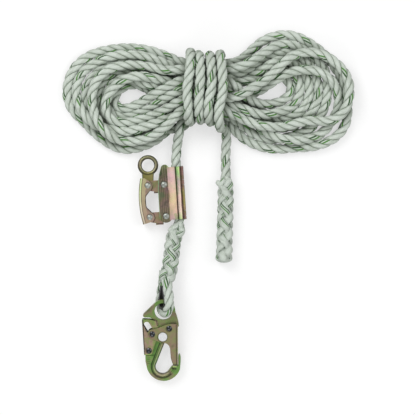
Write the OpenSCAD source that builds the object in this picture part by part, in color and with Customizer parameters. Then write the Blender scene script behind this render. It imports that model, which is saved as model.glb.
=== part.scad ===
// Trailing rope grab on a three-strand lifeline: hinged sheet-steel body with two
// cams on a parallel-arm handle, connector eye, eye splice on a thimble with a
// double-locking snap hook, wrapped hank and back-spliced tail.
// Units are millimetres. The grab stands with its lowest line on Z = 0.

/* [Rope] */
// Diameter of the three-strand rope
rope_d = 16; // [15:0.5:16.5]
// Diameter of the spliced stretches
splice_d = 28; // [26:1:30]
// Height of the hank as it lies
hank_h = 58; // [50:1:66]

/* [Grab body] */
// Length of the rope channel along the rope
body_len = 84; // [80:1:92]
// Radial room between the rope and the channel
channel_gap = 0.8; // [0.7:0.1:1.4]
// Thickness of the pressed steel shells
shell_t = 2.3; // [1.8:0.1:2.6]
// Half the inner gap between the two cheeks
cheek_gap = 6.5; // [6.4:0.1:7]
// Distance of the two body pins from the rope axis
pin_reach = 20.6; // [20:0.2:23]
// Radius of the cheek's rounded foot
cheek_foot_r = 10.3; // [9:0.1:11]
// Diameter of the body pins
pin_d = 8; // [6:0.5:9]
// Diameter of the domed screw heads on the body
screw_head_d = 9.8; // [9:0.2:11]
// Diameter of the body hinge knuckles
knuckle_d = 4.8; // [4.4:0.1:5.4]
// Diameter of the body hinge pin
hinge_pin_d = 2.5; // [2:0.1:2.8]
// Length of each of the two door knuckles
knuckle_len = 8; // [6:0.5:9]

/* [Cams and handle] */
// Distance between the upper and the lower arm
arm_spacing = 50.7; // [48:0.5:54]
// Length of each arm between its two pivots
arm_len = 26; // [25:0.5:30]
// Thickness of the arm plates
arm_t = 2.3; // [1.8:0.1:2.3]
// Half the inner gap between the two plates of an arm
arm_gap = 3.5; // [3.4:0.1:3.6]
// Rounding radius of the arm ends
arm_end_r = 7.6; // [7:0.1:8.4]
// Growth of the cam radius per radian of turn
cam_rise = 0.25; // [0.15:0.01:0.35]
// Thickness of the handle's steel
handle_t = 2.2; // [1.8:0.1:2.6]
// Diameter of the handle rivets
rivet_d = 6; // [5:0.5:7]

/* [Connector eye] */
// Outer diameter of the eye
eye_od = 33; // [30:0.5:35]
// Inner diameter of the eye
eye_id = 20; // [18:0.5:22]
// Distance from the handle rivet to the centre of the eye
eye_reach = 32.6; // [31:0.2:36]
// Thickness of the eye's shank
eye_t = 6.4; // [5.6:0.1:6.4]

/* [Snap hook] */
// Radius of the hook's rope hole
hook_hole_r = 13.9; // [13.5:0.1:14.5]
// Half the thickness of the hook's flat upper part
hook_flat_t = 4; // [3.5:0.1:4.2]
// Half the thickness of the hook's curved lower part
hook_bow_t = 5.5; // [5:0.1:5.8]
// Thickness of the lever and gate plates
hook_plate_t = 1.8; // [1.4:0.1:2]
// Diameter of the hook's rivets
hook_rivet_d = 5.2; // [4.6:0.1:5.4]
// Diameter of the hook's rivet heads
hook_head_d = 9; // [8:0.2:10]
// Diameter of the round plate on the gate
badge_d = 14; // [12:0.5:15]

/* [Thimble] */
// Clear inner radius of the thimble
thimble_r = 9.2; // [9:0.1:9.4]
// Wall of the thimble
thimble_t = 1.6; // [1.4:0.1:1.8]

/* [Hidden] */
$fn = 48;

// Finishes, as red, green and blue
zinc_gold = [0.80, 0.68, 0.56];
zinc_dark = [0.45, 0.42, 0.36];
zinc_olive = [0.46, 0.47, 0.28];
zinc_green = [0.48, 0.55, 0.34];
steel = [0.72, 0.73, 0.72];
rope_white = [0.70, 0.74, 0.68];
nylon_black = [0.06, 0.06, 0.06];

// Fits: running is a shaft that turns in its hole, slack is free room between pieces
run_fit = 0.05;
slack = 0.3;
plate_gap = 0.25;

// Rope channel of the grab, in the grab's own frame: rope axis on Y, front is +Z
rope_r = rope_d / 2;
channel_r = rope_r + channel_gap;
shell_r = channel_r + shell_t;
cheek_z = cheek_gap + shell_t;
grab_lean = 3.8;
grab_pos = [24.7, -4.85, shell_r];
body_top = body_len / 2;

// Pivots: the pins carry the arms on the body, the rivets carry the handle on the arms
pin_x = -pin_reach;
rivet_x = pin_x - arm_len;
upper_y = 14.8;
lower_y = upper_y - arm_spacing;
pin_r = pin_d / 2;
rivet_r = rivet_d / 2;
screw_r = 0.6 * pin_r;
screw_reach = 2.5;
arm_z = arm_gap + arm_t;
handle_gap = arm_z + plate_gap;
handle_z = handle_gap + handle_t;

// Front shell: pressed groove, raised rib beside it and the band that falls to the cheek
groove_w = 2.2;
rib_w = 5.6;
band_w = 11;
crest_z = shell_r + 0.9;
side_r = shell_r - 0.5;
groove_floor = channel_r + 1;
band_x = -groove_w - band_w;
band_drop = crest_z - cheek_z;
band_r = (band_w * band_w + band_drop * band_drop) / (2 * band_drop);
rear_drop = shell_r - cheek_z;
rear_band_r = (band_x * band_x + rear_drop * rear_drop) / (2 * rear_drop);

// Body hinge on the rope side
knuckle_r = knuckle_d / 2;
seam_angle = 35;
hinge_reach = channel_r + knuckle_r + slack;
hinge_at = [hinge_reach * cos(seam_angle), hinge_reach * sin(seam_angle)];
door_knuckles = [upper_y + 2, lower_y + 3.4];
knuckle_gap = 0.8;
rear_spans = [[-body_top, door_knuckles[1] - knuckle_len / 2 - knuckle_gap],
    [door_knuckles[1] + knuckle_len / 2 + knuckle_gap,
        door_knuckles[0] - knuckle_len / 2 - knuckle_gap],
    [door_knuckles[0] + knuckle_len / 2 + knuckle_gap, body_top]];

// Cheek outline: straight back edge, long curve to a narrow top, round foot
cheek_back = pin_x - 10.2;
cheek_curve_r = 100;
cheek_curve_y = upper_y - 9.8;
cheek_top_r = 6.2;
cheek_top = [pin_x + 2.6, body_top - 1.6];

// Handle: its web is bowed about a far centre
handle_bow_r = 157;
handle_bow = 15.9;
handle_center = [rivet_x - handle_bow + handle_bow_r, (upper_y + lower_y) / 2 + 1];
handle_lobe_r = 7.8;
handle_rise = 12.3;
handle_drop = 10.8;

// Connector eye: land inside the ring, and half widths of its tang, neck and root
eye_land = 3;
eye_tang = 8.8;
eye_neck = 9.4;
eye_root = 10.5;

// Cams: the profile grows by cam_rise per radian as it turns towards the rope
cam_room = 0.4;
cam_reach = pin_reach - rope_r - cam_room;
cam_base = cam_reach / (exp(cam_rise * atan(cam_rise) * PI / 180) * cos(atan(cam_rise)));
cam_hub_r = pin_r + 2.6;
tooth_h = 0.5;
spring_wire = 0.9;
spring_room = 2.4;

// Hook, in its own frame: origin at the middle of the bar that lies in the thimble
bar_w = 5.2;
hole_y = -bar_w / 2 - hook_hole_r;
ring_r = hook_hole_r + bar_w;
lever_gap = hook_flat_t + plate_gap;
lever_z = lever_gap + hook_plate_t;
gate_gap = lever_z + plate_gap;
gate_z = gate_gap + hook_plate_t;
hook_rivet_r = hook_rivet_d / 2;
gate_pivot = [9.6, -43.2];
gate_stop = [-17.4, -52.3];
lever_pivot = [-22.9, -79.8];
badge_at = [-0.8, -56.6];
slot_top = [-26.4, -37.5];
slot_r = hook_rivet_r + 2.2;
hook_reach = 129.2;
throat_at = [-1.4, -106.6];
throat_r = 11.2;
throat_back = 158.5;
throat_front = -37;
bead_w = 5.4;
bead_r = throat_r + bead_w / 2;
bead_back = 42.4;
bead_front = 9.5;
bow_groove_w = 2.4;
bow_groove_deep = 1.6;
flange_r = throat_r + bead_w + bow_groove_w;

// Rope loop round the thimble: its plane stands on the floor and leans to +X
loop_lean = 24;
loop_taper = 20;
loop_r = thimble_r + thimble_t + rope_r;
loop_at = [4.6, -177.4, rope_r + loop_r * cos(loop_lean)];
loop_step = (180 + 2 * loop_taper) / 10;
trough_w = 6;
trough_deep = 5;
throat = 30.6;
leg_run = (throat - loop_r * sin(loop_taper)) / cos(loop_taper);
splice_r = splice_d / 2;
splice_turn = 78;
strand_t = splice_r * 0.21;
strand_w = 6;
weave_r = splice_r - 2 * strand_t;
weave_step = 2.6;
channel_stretch = [48, 24, 0, -24, -48];
bar_seat = trough_w * sin(loop_lean)
    - sqrt(thimble_r * thimble_r - bar_w * bar_w / 4) * cos(loop_lean);
bar_room = 0.8;
bar_at = [2, -177, loop_at.z + bar_seat + bar_room + hook_flat_t];
hook_tilt = asin((bar_at.z - hook_bow_t) / hook_reach);

// Routes of the rope, as hand-chosen points
lead_points = [[33.5, 108, 13], [31, 97, 9], [28, 82, 8], [25, 68, 8.4],
    [22.6, 57, 10]];
splice_points = [[25.5, -62, 14], [18.5, -78, 14.2], [15.5, -100, 14.4], [12.3, -124, 16.5],
    [8.6, -138, 21.5]];
tail_points = [[98, 112, 26], [99, 99, 17], [99.8, 85, 10.5], [100.6, 68, 8.2],
    [101.4, 50, 8.4], [102, 34, 11.4], [102, 22, 14.2]];
back_points = [[102, 22, 14.2], [101.6, 6, 14.3], [101.1, -20, 14.3], [100.2, -50, 14.3],
    [99.4, -80, 14.3], [98.8, -104, 14.3], [98.7, -113, 14.3]];

// Outlines of the hank's two lobes and of their holes, seen from the front
left_outline = [[33, 214], [4, 224], [-24, 231], [-52, 235], [-76, 235], [-100, 229],
    [-120, 220], [-136, 208], [-151, 189], [-160, 167], [-162, 147], [-156, 128],
    [-140, 114], [-120, 99], [-103, 80], [-87, 66], [-64, 60], [-37, 64], [-10, 80],
    [12, 98], [33, 112], [33, 163]];
left_hole = [[-18, 162], [-30, 168], [-46, 170], [-58, 164], [-66, 155], [-62, 145],
    [-50, 138], [-36, 141], [-24, 150]];
right_outline = [[104, 112], [118, 92], [137, 76], [163, 64], [196, 63], [228, 68],
    [260, 74], [284, 87], [299, 106], [305, 130], [305, 157], [297, 184], [281, 207],
    [255, 224], [228, 237], [207, 249], [184, 253], [163, 249], [143, 237], [124, 220],
    [104, 208], [104, 160]];
right_hole = [[162, 152], [172, 144], [186, 142], [200, 147], [207, 154], [198, 163],
    [184, 168], [170, 164]];
wrap_x = [42, 60, 78, 95.5];
wrap_low = [107, 110, 107, 97];
wrap_high = [219, 215, 214, 216];
waist_h = 42;
waist_low = 116;
waist_high = 205;

// ---- Point helpers ----

// Points on an arc about c from angle a to angle b
function arc(c, r, a, b, n = 12) =
    [for (i = [0:n]) c + r * [cos(a + (b - a) * i / n), sin(a + (b - a) * i / n)]];

// Vector of the same direction with length one
function unit(v) = v / norm(v);

// Closed curve through points, four steps a span
function smooth(p, n = 4) =
    [for (i = [0:len(p) - 1], k = [0:n - 1])
        let (m = len(p), t = k / n, a = p[(i + m - 1) % m], b = p[i], c = p[(i + 1) % m],
            d = p[(i + 2) % m])
        0.5 * (2 * b + (c - a) * t + (2 * a - 5 * b + 4 * c - d) * t * t
            + (3 * b - a - 3 * c + d) * t * t * t)];

// Open curve through points, four steps a span
function smooth_route(p) =
    let (m = len(p), q = concat([2 * p[0] - p[1]], p, [2 * p[m - 1] - p[m - 2]]))
    concat([for (i = [1:m - 1], k = [0:3])
        let (t = k / 4, a = q[i - 1], b = q[i], c = q[i + 1], d = q[i + 2])
        0.5 * (2 * b + (c - a) * t + (2 * a - 5 * b + 4 * c - d) * t * t
            + (3 * b - a - 3 * c + d) * t * t * t)], [p[m - 1]]);

// Direction of a route at point i
function heading(p, i) = unit(p[min(i + 1, len(p) - 1)] - p[max(i - 1, 0)]);

// Ring of points round a route point, square to the heading
function ring(c, dir, r, sides) =
    let (side = unit(cross(dir, abs(dir.x) > 0.9 ? [0, 0, 1] : [1, 0, 0])),
        up = cross(side, dir))
    [for (k = [0:sides - 1]) c + r * (cos(360 * k / sides) * side
        + sin(360 * k / sides) * up)];

// Tube along a route, with a radius for each point and flat ends
module tube(p, r, sides = 12) {
    n = len(p);
    points = [for (i = [0:n - 1]) each ring(p[i], heading(p, i), r[i], sides)];
    walls = [for (i = [0:n - 2], k = [0:sides - 1])
        [i * sides + k, i * sides + (k + 1) % sides,
            (i + 1) * sides + (k + 1) % sides, (i + 1) * sides + k]];
    ends = [[for (k = [0:sides - 1]) sides - 1 - k],
        [for (k = [0:sides - 1]) (n - 1) * sides + k]];
    polyhedron(points, concat(walls, ends), convexity = 4);
}

// Length of a route up to point i
function run(p, i) = i == 0 ? 0 : run(p, i - 1) + norm(p[i] - p[i - 1]);

// Point of a route a distance s from its start
function at(p, s, i = 0) =
    let (d = norm(p[i + 1] - p[i]))
    s <= d || i == len(p) - 2 ? p[i] + (p[i + 1] - p[i]) * min(1, s / d)
        : at(p, s - d, i + 1);

// Height of one strand of a splice at angle a, a distance s along: three strands wind one
// way and three the other, and each goes over one and under the next
function strand(k, a, s) =
    let (way = k < 3 ? 1 : -1, turn = 360 * s / splice_turn,
        apart = a - way * turn - 120 * k, off = apart - 360 * round(apart / 360),
        wide = atan(strand_w / weave_r) * sqrt(1 + pow(2 * PI * weave_r / splice_turn, 2)))
    way * strand_t * cos(3 * turn)
        + strand_t * sqrt(max(0, 1 - pow(off / wide, 2)));

// Splice: six strands woven round a route, with a share of the full girth along it
module woven(route, girth, sides = 24) {
    p = smooth_route(route);
    reach = run(p, len(p) - 1);
    n = round(reach / weave_step);
    line = [for (i = [0:n]) at(p, reach * i / n)];
    points = [for (i = [0:n])
        let (s = reach * i / n, g = lookup(s / reach, girth), dir = heading(line, i),
            side = unit(cross(dir, [1, 0, 0])), up = cross(side, dir))
        for (k = [0:sides - 1])
            let (a = 360 * k / sides,
                r = g * (weave_r + max([for (m = [0:5]) strand(m, a, s)])))
            line[i] + r * (cos(a) * side + sin(a) * up)];
    walls = [for (i = [0:n - 1], k = [0:sides - 1])
        let (a = i * sides, b = a + sides, kk = (k + 1) % sides)
        each [[a + k, a + kk, b + kk], [a + k, b + kk, b + k]]];
    ends = [[for (k = [0:sides - 1]) sides - 1 - k],
        [for (k = [0:sides - 1]) n * sides + k]];
    polyhedron(points, concat(walls, ends), convexity = 6);
}

// Position on a closed outline at fraction f of its length, by equal point steps
function along(p, f) =
    let (m = len(p), s = f * m, i = floor(s), t = s - i)
    p[i % m] * (1 - t) + p[(i + 1) % m] * t;

// Round-edged slab between an outline and its hole, both starting on the same side
module lobe(outline, hole, h, turns = 44, sides = 10) {
    outer = smooth(outline, 2);
    inner = smooth(hole, 4);
    points = [for (i = [0:turns - 1], k = [0:sides - 1])
        let (o = along(outer, i / turns), n = along(inner, i / turns),
            c = cos(360 * (k + 0.5) / sides), s = sin(360 * (k + 0.5) / sides),
            f = 0.5 + 0.5 * sign(c) * pow(abs(c), 0.45) / pow(cos(18), 0.45),
            z = 0.5 + 0.5 * sign(s) * pow(abs(s), 0.6),
            q = n + (o - n) * f)
        [q.x, q.y, h * z]];
    faces = [for (i = [0:turns - 1], k = [0:sides - 1])
        let (a = i * sides, b = ((i + 1) % turns) * sides, kk = (k + 1) % sides)
        each [[a + k, a + kk, b + kk], [a + k, b + kk, b + k]]];
    polyhedron(points, faces, convexity = 8);
}

// ---- Placing helpers ----

module at_grab() translate(grab_pos) rotate([0, 0, grab_lean]) children();
module at_hook() translate(bar_at) rotate([hook_tilt, 0, 0]) children();
module at_loop() translate(loop_at) rotate([0, 90 + loop_lean, 0]) children();

// Plate on both sides of the middle, from z0 to z1 of thickness
module both_sides(z0, z1) {
    translate([0, 0, z0]) linear_extrude(z1 - z0) children();
    translate([0, 0, -z1]) linear_extrude(z1 - z0) children();
}

// Plate centred on the middle
module mid_plate(h) translate([0, 0, -h]) linear_extrude(2 * h) children();

// Hole or shaft square to the plates
module cross_bore(at, r, z = 40) translate([at.x, at.y, -z]) cylinder(r = r, h = 2 * z);

// Domed head that sits on the plane z = 0
module dome(d, h) {
    ball = (d * d / 4 + h * h) / (2 * h);
    intersection() {
        translate([0, 0, h - ball]) sphere(r = ball);
        cylinder(d = d, h = h);
    }
}

// Rivet through a stack of half-thickness z, domed at both ends
module rivet(at, r, head_d, z, head_h = 1.7) translate([at.x, at.y, 0]) {
    translate([0, 0, -z]) cylinder(r = r, h = 2 * z);
    translate([0, 0, z]) dome(head_d, head_h);
    mirror([0, 0, 1]) translate([0, 0, z]) dome(head_d, head_h);
}

// ---- Grab body ----

// Outline shared by the two cheeks, with the channel's rectangle beside it
module body_outline() {
    foot = [pin_x, lower_y];
    polygon(concat(
        [[shell_r + knuckle_d, -body_top], [shell_r + knuckle_d, body_top],
            [band_x + 2, body_top]],
        arc(cheek_top, cheek_top_r, 20, 155),
        [for (a = [5:-1:0]) let (y = cheek_curve_y + a * (body_top - cheek_curve_y - 5) / 5)
            [cheek_back + pow(y - cheek_curve_y, 2) / (2 * cheek_curve_r), y]],
        arc(foot, cheek_foot_r, 180, 325)));
}

// Space inside the body: the rope channel and the slot for arms and cams
module body_void() {
    circle(r = channel_r);
    translate([-80, -cheek_gap]) square([80, 2 * cheek_gap]);
}

// Part of a disc that lies between two values of X
module disc_part(c, r, x0, x1) {
    intersection() {
        translate(c) circle(r = r, $fn = 96);
        translate([x0, 0]) square([x1 - x0, 60]);
    }
}

// Section of the front shell: cheek, band, groove, rib and side wall
module front_section() {
    band_at = [-groove_w, crest_z - band_r];
    difference() {
        union() {
            translate([-60, 0]) square([60 + band_x, cheek_z]);
            disc_part(band_at, band_r, band_x, -groove_w);
            disc_part([0, 0], groove_floor, -groove_w, 0);
            disc_part([0, 0], crest_z, 0, rib_w);
            disc_part([0, 0], side_r, rib_w, side_r);
        }
        body_void();
        disc_part(band_at, band_r - shell_t, band_x, -groove_w - shell_t);
        rotate(seam_angle) translate([-1, -60]) square([80, 60]);
    }
}

// Section of the rear shell: cheek, low band, back of the channel and side wall
module rear_section() {
    band_at = [0, rear_band_r - shell_r];
    difference() {
        union() {
            translate([-60, -cheek_z]) square([60 + band_x, cheek_z]);
            mirror([0, 1]) disc_part([0, -band_at.y], rear_band_r, band_x, 0);
            intersection() {
                circle(r = shell_r);
                translate([0, -60]) square([60, 120]);
            }
        }
        body_void();
        mirror([0, 1])
            disc_part([0, -band_at.y], rear_band_r - shell_t, band_x, -channel_r * 0.7);
        translate([-80, 0]) square([80.01, 60]);
        rotate(seam_angle) translate([0, 0]) square([80, 60]);
    }
}

// Extrudes a section along the rope and trims it to the body's outline
module shell_from_section() intersection() {
    translate([0, body_top + 30, 0]) rotate([90, 0, 0]) linear_extrude(2 * body_top + 60)
        children();
    mid_plate(40) body_outline();
}

// Cylinder on the hinge line between two places along it
module on_hinge(y0, y1, r) translate([hinge_at.x, y1, hinge_at.y]) rotate([90, 0, 0])
    cylinder(r = r, h = y1 - y0);

module rear_shell() color(zinc_gold) at_grab() difference() {
    union() {
        difference() {
            shell_from_section() rear_section();
            for (y = door_knuckles)
                on_hinge(y - knuckle_len / 2 - knuckle_gap, y + knuckle_len / 2 + knuckle_gap,
                    knuckle_r + 2 * slack);
        }
        for (s = rear_spans) on_hinge(s[0], s[1], knuckle_r);
    }
    on_hinge(-body_top - 1, body_top + 1, hinge_pin_d / 2);
    cross_bore([pin_x, upper_y], pin_r);
    cross_bore([pin_x, lower_y], pin_r);
}

module front_shell() color(zinc_gold) at_grab() difference() {
    union() {
        difference() {
            shell_from_section() front_section();
            for (s = rear_spans)
                on_hinge(s[0] - knuckle_gap, s[1] + knuckle_gap, knuckle_r + 2 * slack);
        }
        for (y = door_knuckles)
            on_hinge(y - knuckle_len / 2, y + knuckle_len / 2, knuckle_r);
    }
    on_hinge(-body_top - 1, body_top + 1, hinge_pin_d / 2 + run_fit);
    cross_bore([pin_x, upper_y], screw_r);
    cross_bore([pin_x, lower_y], screw_r);
}

// Hinge pin, upset at both ends
module hinge_pin() color(steel) at_grab() {
    on_hinge(-body_top, body_top, hinge_pin_d / 2);
    on_hinge(body_top, body_top + 1, hinge_pin_d / 2 + 0.6);
    on_hinge(-body_top - 1, -body_top, hinge_pin_d / 2 + 0.6);
}

// Body pin: riveted head behind the rear cheek, tapped end under the front cheek
module body_pin(y) color(steel) at_grab() translate([pin_x, y, 0]) difference() {
    union() {
        translate([0, 0, -cheek_z]) cylinder(r = pin_r, h = cheek_z + cheek_gap - slack);
        mirror([0, 0, 1]) translate([0, 0, cheek_z]) dome(screw_head_d, 1.8);
    }
    translate([0, 0, cheek_gap - screw_reach - 1.5]) cylinder(r = screw_r + 2 * slack, h = 10);
}
module upper_body_pin() body_pin(upper_y);
module lower_body_pin() body_pin(lower_y);

// Domed lock screw with a hexagon socket, held in the front cheek
module lock_screw(y) color(steel) at_grab() translate([pin_x, y, 0]) difference() {
    union() {
        translate([0, 0, cheek_gap - screw_reach]) cylinder(r = screw_r, h = screw_reach + shell_t);
        translate([0, 0, cheek_z]) dome(screw_head_d, 2);
    }
    translate([0, 0, cheek_z + 0.9]) cylinder(d = screw_head_d * 0.42, h = 4, $fn = 6);
}
module upper_lock_screw() lock_screw(upper_y);
module lower_lock_screw() lock_screw(lower_y);

// Thin washers between the arm plates and the cheeks
module cam_washers() color(steel) at_grab() for (y = [upper_y, lower_y])
    translate([pin_x, y, 0]) both_sides(arm_z + 0.1, cheek_gap - 0.05) difference() {
        circle(r = pin_r + 2.8);
        circle(r = pin_r);
    }

// ---- Arms, cams, handle and eye ----

// Plate of an arm, pivot to pivot, with a skirt that folds into the lower web
module arm_outline() {
    polygon(concat(
        arc([rivet_x, 0], arm_end_r, 90, 255),
        [[rivet_x + 7, -arm_end_r - 2], [pin_x - 5, -arm_end_r - 2]],
        arc([pin_x, 0], arm_end_r, -75, 90)));
}

// U-shaped arm: two plates and the folded web under them
module arm(y) color(zinc_gold) at_grab() translate([0, y, 0]) difference() {
    union() {
        both_sides(arm_gap, arm_z) arm_outline();
        translate([rivet_x + 9, -arm_end_r - 2, 0]) rotate([90, 0, 90])
            linear_extrude(arm_len - 14) difference() {
                channel_part(arm_z, 3.2, 2);
                channel_part(arm_gap, 3.2 - arm_t, 0.6);
            }
    }
    cross_bore([rivet_x, 0], rivet_r + run_fit);
    cross_bore([pin_x, 0], pin_r + run_fit);
}

// Half of a channel's section: flat top, depth d below it, lower corners rounded by r
module channel_part(half, d, r) {
    translate([-d + r, -half]) square([d - r + 0.01, 2 * half]);
    translate([-d, -half + r]) square([r + 0.01, 2 * (half - r)]);
    for (s = [-1, 1]) translate([-d + r, s * (half - r)]) circle(r = r);
}

module upper_arm() arm(upper_y);
module lower_arm() arm(lower_y);

// Cam: toothed nose towards the rope on a round hub
module cam(y, top_z) color(steel) at_grab() translate([pin_x, y, 0]) difference() {
    translate([0, 0, -arm_gap + 0.1]) linear_extrude(arm_gap - 0.1 + top_z) union() {
        circle(r = cam_hub_r);
        polygon(concat([[0, 0]],
            [for (i = [0:26]) let (a = -30 + i * 5, r = cam_base * exp(-cam_rise * a * PI / 180)
                - (i % 2) * tooth_h) r * [cos(a), sin(a)]]));
    }
    cross_bore([0, 0], pin_r + run_fit);
}
module upper_cam() cam(upper_y, arm_gap - 0.1);
module lower_cam() cam(lower_y, arm_gap - spring_room);

// Torsion spring beside the lower cam: two coils and a leg
module cam_spring() color(steel) at_grab() translate([pin_x, lower_y, 0]) {
    for (k = [0, 1]) translate([0, 0, arm_gap - spring_room + 0.65 + k * (spring_wire + 0.1)])
        rotate_extrude() translate([pin_r + 1.2, 0]) circle(d = spring_wire, $fn = 16);
    translate([-pin_r - 1.2, 0, arm_gap - spring_room + 0.65]) rotate([0, -90, 0])
        cylinder(d = 0.8 * spring_wire, h = arm_end_r, $fn = 16);
}

// Section of the handle: a U whose web is at radius r and whose legs point inwards
module handle_section() difference() {
    union() {
        translate([handle_bow_r - 40, -handle_z]) square([37, 2 * handle_z]);
        translate([handle_bow_r - 4, -handle_z + 3]) square([4, 2 * (handle_z - 3)]);
        for (s = [-1, 1]) translate([handle_bow_r - 3, s * (handle_z - 3)]) circle(r = 3);
    }
    translate([handle_bow_r - 50, -handle_gap]) square([50 - handle_t, 2 * handle_gap]);
}

// Grip outline: a lobe round each rivet and a waist between them
module handle_outline() {
    top = upper_y + handle_rise;
    grip = rivet_x - 5;
    polygon(concat(
        [[rivet_x - 40, top], [rivet_x - 5, top]],
        arc([rivet_x, upper_y], handle_lobe_r, 75, -35),
        [[rivet_x + 1.5, upper_y - 9.6]],
        arc([grip + 8, upper_y - 20], 8, 128, 180, 5),
        arc([grip + 8, lower_y + 20], 8, 180, 238, 5),
        arc([rivet_x, lower_y], handle_lobe_r, 50, -80),
        [[rivet_x - 11, lower_y - handle_drop], [rivet_x - 40, lower_y - handle_drop]]));
}

module handle() color(zinc_gold) at_grab() difference() {
    intersection() {
        translate(handle_center) rotate([0, 0, 160]) rotate_extrude(angle = 40, $fn = 240)
            handle_section();
        mid_plate(20) handle_outline();
    }
    cross_bore([rivet_x, upper_y], rivet_r);
    cross_bore([rivet_x, lower_y], rivet_r);
}

module upper_handle_rivet() color(steel) at_grab()
    rivet([rivet_x, upper_y], rivet_r, 1.5 * rivet_d, handle_z);
module lower_handle_rivet() color(steel) at_grab()
    rivet([rivet_x, lower_y], rivet_r, 1.5 * rivet_d, handle_z);

// Forged eye: round ring on a flat shank that turns on the upper handle rivet
module connector_eye() color(zinc_olive) at_grab() translate([rivet_x, upper_y, 0])
    rotate([0, 0, -grab_lean]) {
        mid = (eye_od + eye_id) / 4;
        translate([0, eye_reach, 0]) rotate_extrude() translate([mid, 0]) {
            circle(d = (eye_od - eye_id) / 2);
            translate([(eye_id - eye_od) / 4, -eye_land / 2])
                square([(eye_od - eye_id) / 4, eye_land]);
        }
        mid_plate(eye_t / 2) difference() {
            union() {
                circle(r = eye_tang);
                polygon([[-eye_tang, 0], [eye_tang, 0], [eye_tang, eye_tang],
                    [eye_neck, eye_reach - mid], [eye_root, eye_reach - eye_t],
                    [-eye_root, eye_reach - eye_t], [-eye_neck, eye_reach - mid],
                    [-eye_tang, eye_tang]]);
            }
            circle(r = rivet_r + run_fit);
            translate([0, eye_reach]) circle(r = mid);
        }
    }

// ---- Snap hook ----

// Flat upper part of the hook: rope ring, shoulder and the neck to the gate pivot
module hook_flat_outline() difference() {
    union() {
        translate([0, hole_y]) circle(r = ring_r);
        polygon(concat(
            [[-ring_r * 0.7, hole_y + ring_r * 0.714], [-31.6, -20.6], [-32.4, -22.6],
                [-31.4, -25], [-29.5, -26], [-22, -26], [-17.6, -27.6], [-13.6, -29.6],
                [-12.5, -38], [-12.8, -50], [-14, -61], [-27, -74]],
            arc(lever_pivot, 6, 160, 215),
            [[-28, -86], [-28, -91], [-11, -91], throat_point(bead_r, throat_back, -13),
                throat_point(bead_r, throat_back, -38)],
            arc(gate_pivot, 10.5, -110, -10),
            [[22.9, -43], [24.8, -39.5], [24, -33], [21.6, -24], [ring_r, hole_y]]));
    }
    translate([0, hole_y]) circle(r = hook_hole_r);
}

// Point beside the throat: at an angle of its bend and so far on along the tangent
function throat_point(r, a, on = 0) =
    throat_at + [r * cos(a) - on * sin(a), r * sin(a) + on * cos(a)];

// Curved lower part of the hook, with its inner edge at a distance from the bend's centre
module hook_bow_outline(r, inner) polygon(concat(
    [[-28.8, -88.2], [-28.6, -97]],
    [for (a = [200:10:340]) [0.4 + 27.8 * cos(a), -100 + (hook_reach - 100) * sin(a)]],
    [[27.6, -97], [27.6, -91.5], [26.8, -87.6], [25.4, -86], [24.2, -87.4], [23.7, -90],
        [23.7, -104.8], [14.2, -105]],
    inner, [throat_point(r, throat_front, bead_front - 1.6)],
    arc(throat_at, r, throat_front - 4, throat_back - 356, 16),
    [throat_point(r, throat_back, -12)], [[-15, -88.2]]));

// Section of the rounded bead round the throat
module bead_section() translate([bead_r, 0])
    polygon([for (s = [1, -1], a = [0:30:180]) let (b = s > 0 ? a : a + 180)
        [bead_w / 2 * cos(b), bead_w / 2 * sin(b) + s * (hook_bow_t - bead_w / 2)]]);

// Bead round the throat: up the back to the gate, round the bend and up to the notch
module bead() translate(throat_at) {
    rotate([0, 0, throat_back]) {
        rotate_extrude(angle = 360 + throat_front - throat_back) bead_section();
        rotate([90, 0, 0]) linear_extrude(bead_back) bead_section();
    }
    rotate([0, 0, throat_front]) translate([0, bead_front, 0]) rotate([90, 0, 0])
        linear_extrude(bead_front) bead_section();
}

module hook_frame() color(zinc_green) at_hook() difference() {
    union() {
        mid_plate(hook_flat_t) hook_flat_outline();
        mid_plate(hook_bow_t - bow_groove_deep) hook_bow_outline(bead_r, []);
        mid_plate(hook_bow_t) hook_bow_outline(flange_r, [[15.4, -107.2]]);
        bead();
        translate([gate_pivot.x, gate_pivot.y, 0]) both_sides(0, gate_gap - 0.1)
            circle(r = hook_rivet_r + 1.2);
    }
    cross_bore(gate_pivot, hook_rivet_r);
    cross_bore(lever_pivot, hook_rivet_r);
}

// Gate cheek: lobe at the stop rivet, wide middle and a tongue down to the nose
module gate_outline() polygon(concat(
    [[-5.1, -41.2], [2.5, -37.8], [9.6, -35.4], [15.5, -34.8], [21.4, -36], [22.6, -37.2],
        [23.1, -39], [23.1, -102.5], [15.7, -102.5], [13.6, -97], [12, -91.5], [11.3, -83],
        [10.7, -75.5], [9.2, -71.4], [6.5, -68.4], [3.2, -67], [-7.5, -64.6]],
    arc(gate_stop, 7.4, 235, 105)));

// Gate: two cheeks joined by a web along the outer edge
module hook_gate() color(zinc_green) at_hook() difference() {
    union() {
        both_sides(gate_gap, gate_z) gate_outline();
        mid_plate(gate_gap + 0.1)
            translate([23.1 - hook_plate_t, -102.5]) square([hook_plate_t, 54.5]);
    }
    cross_bore(gate_pivot, hook_rivet_r + run_fit);
    cross_bore(gate_stop, hook_rivet_r);
}

module gate_pivot_rivet() color(steel) at_hook()
    rivet(gate_pivot, hook_rivet_r, hook_head_d, gate_z);
module gate_stop_rivet() color(steel) at_hook()
    rivet(gate_stop, hook_rivet_r, hook_head_d, gate_z);

// Torsion spring of the gate: coils on the frame's boss, on both sides of the frame
module gate_spring() color(steel) at_hook() translate([gate_pivot.x, gate_pivot.y, 0])
    for (s = [-1, 1], k = [0, 1]) translate([0, 0, s * (hook_flat_t + 0.6 + k * 0.9)])
        rotate_extrude() translate([hook_rivet_r + 1.9, 0]) circle(d = 0.9, $fn = 16);

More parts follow.
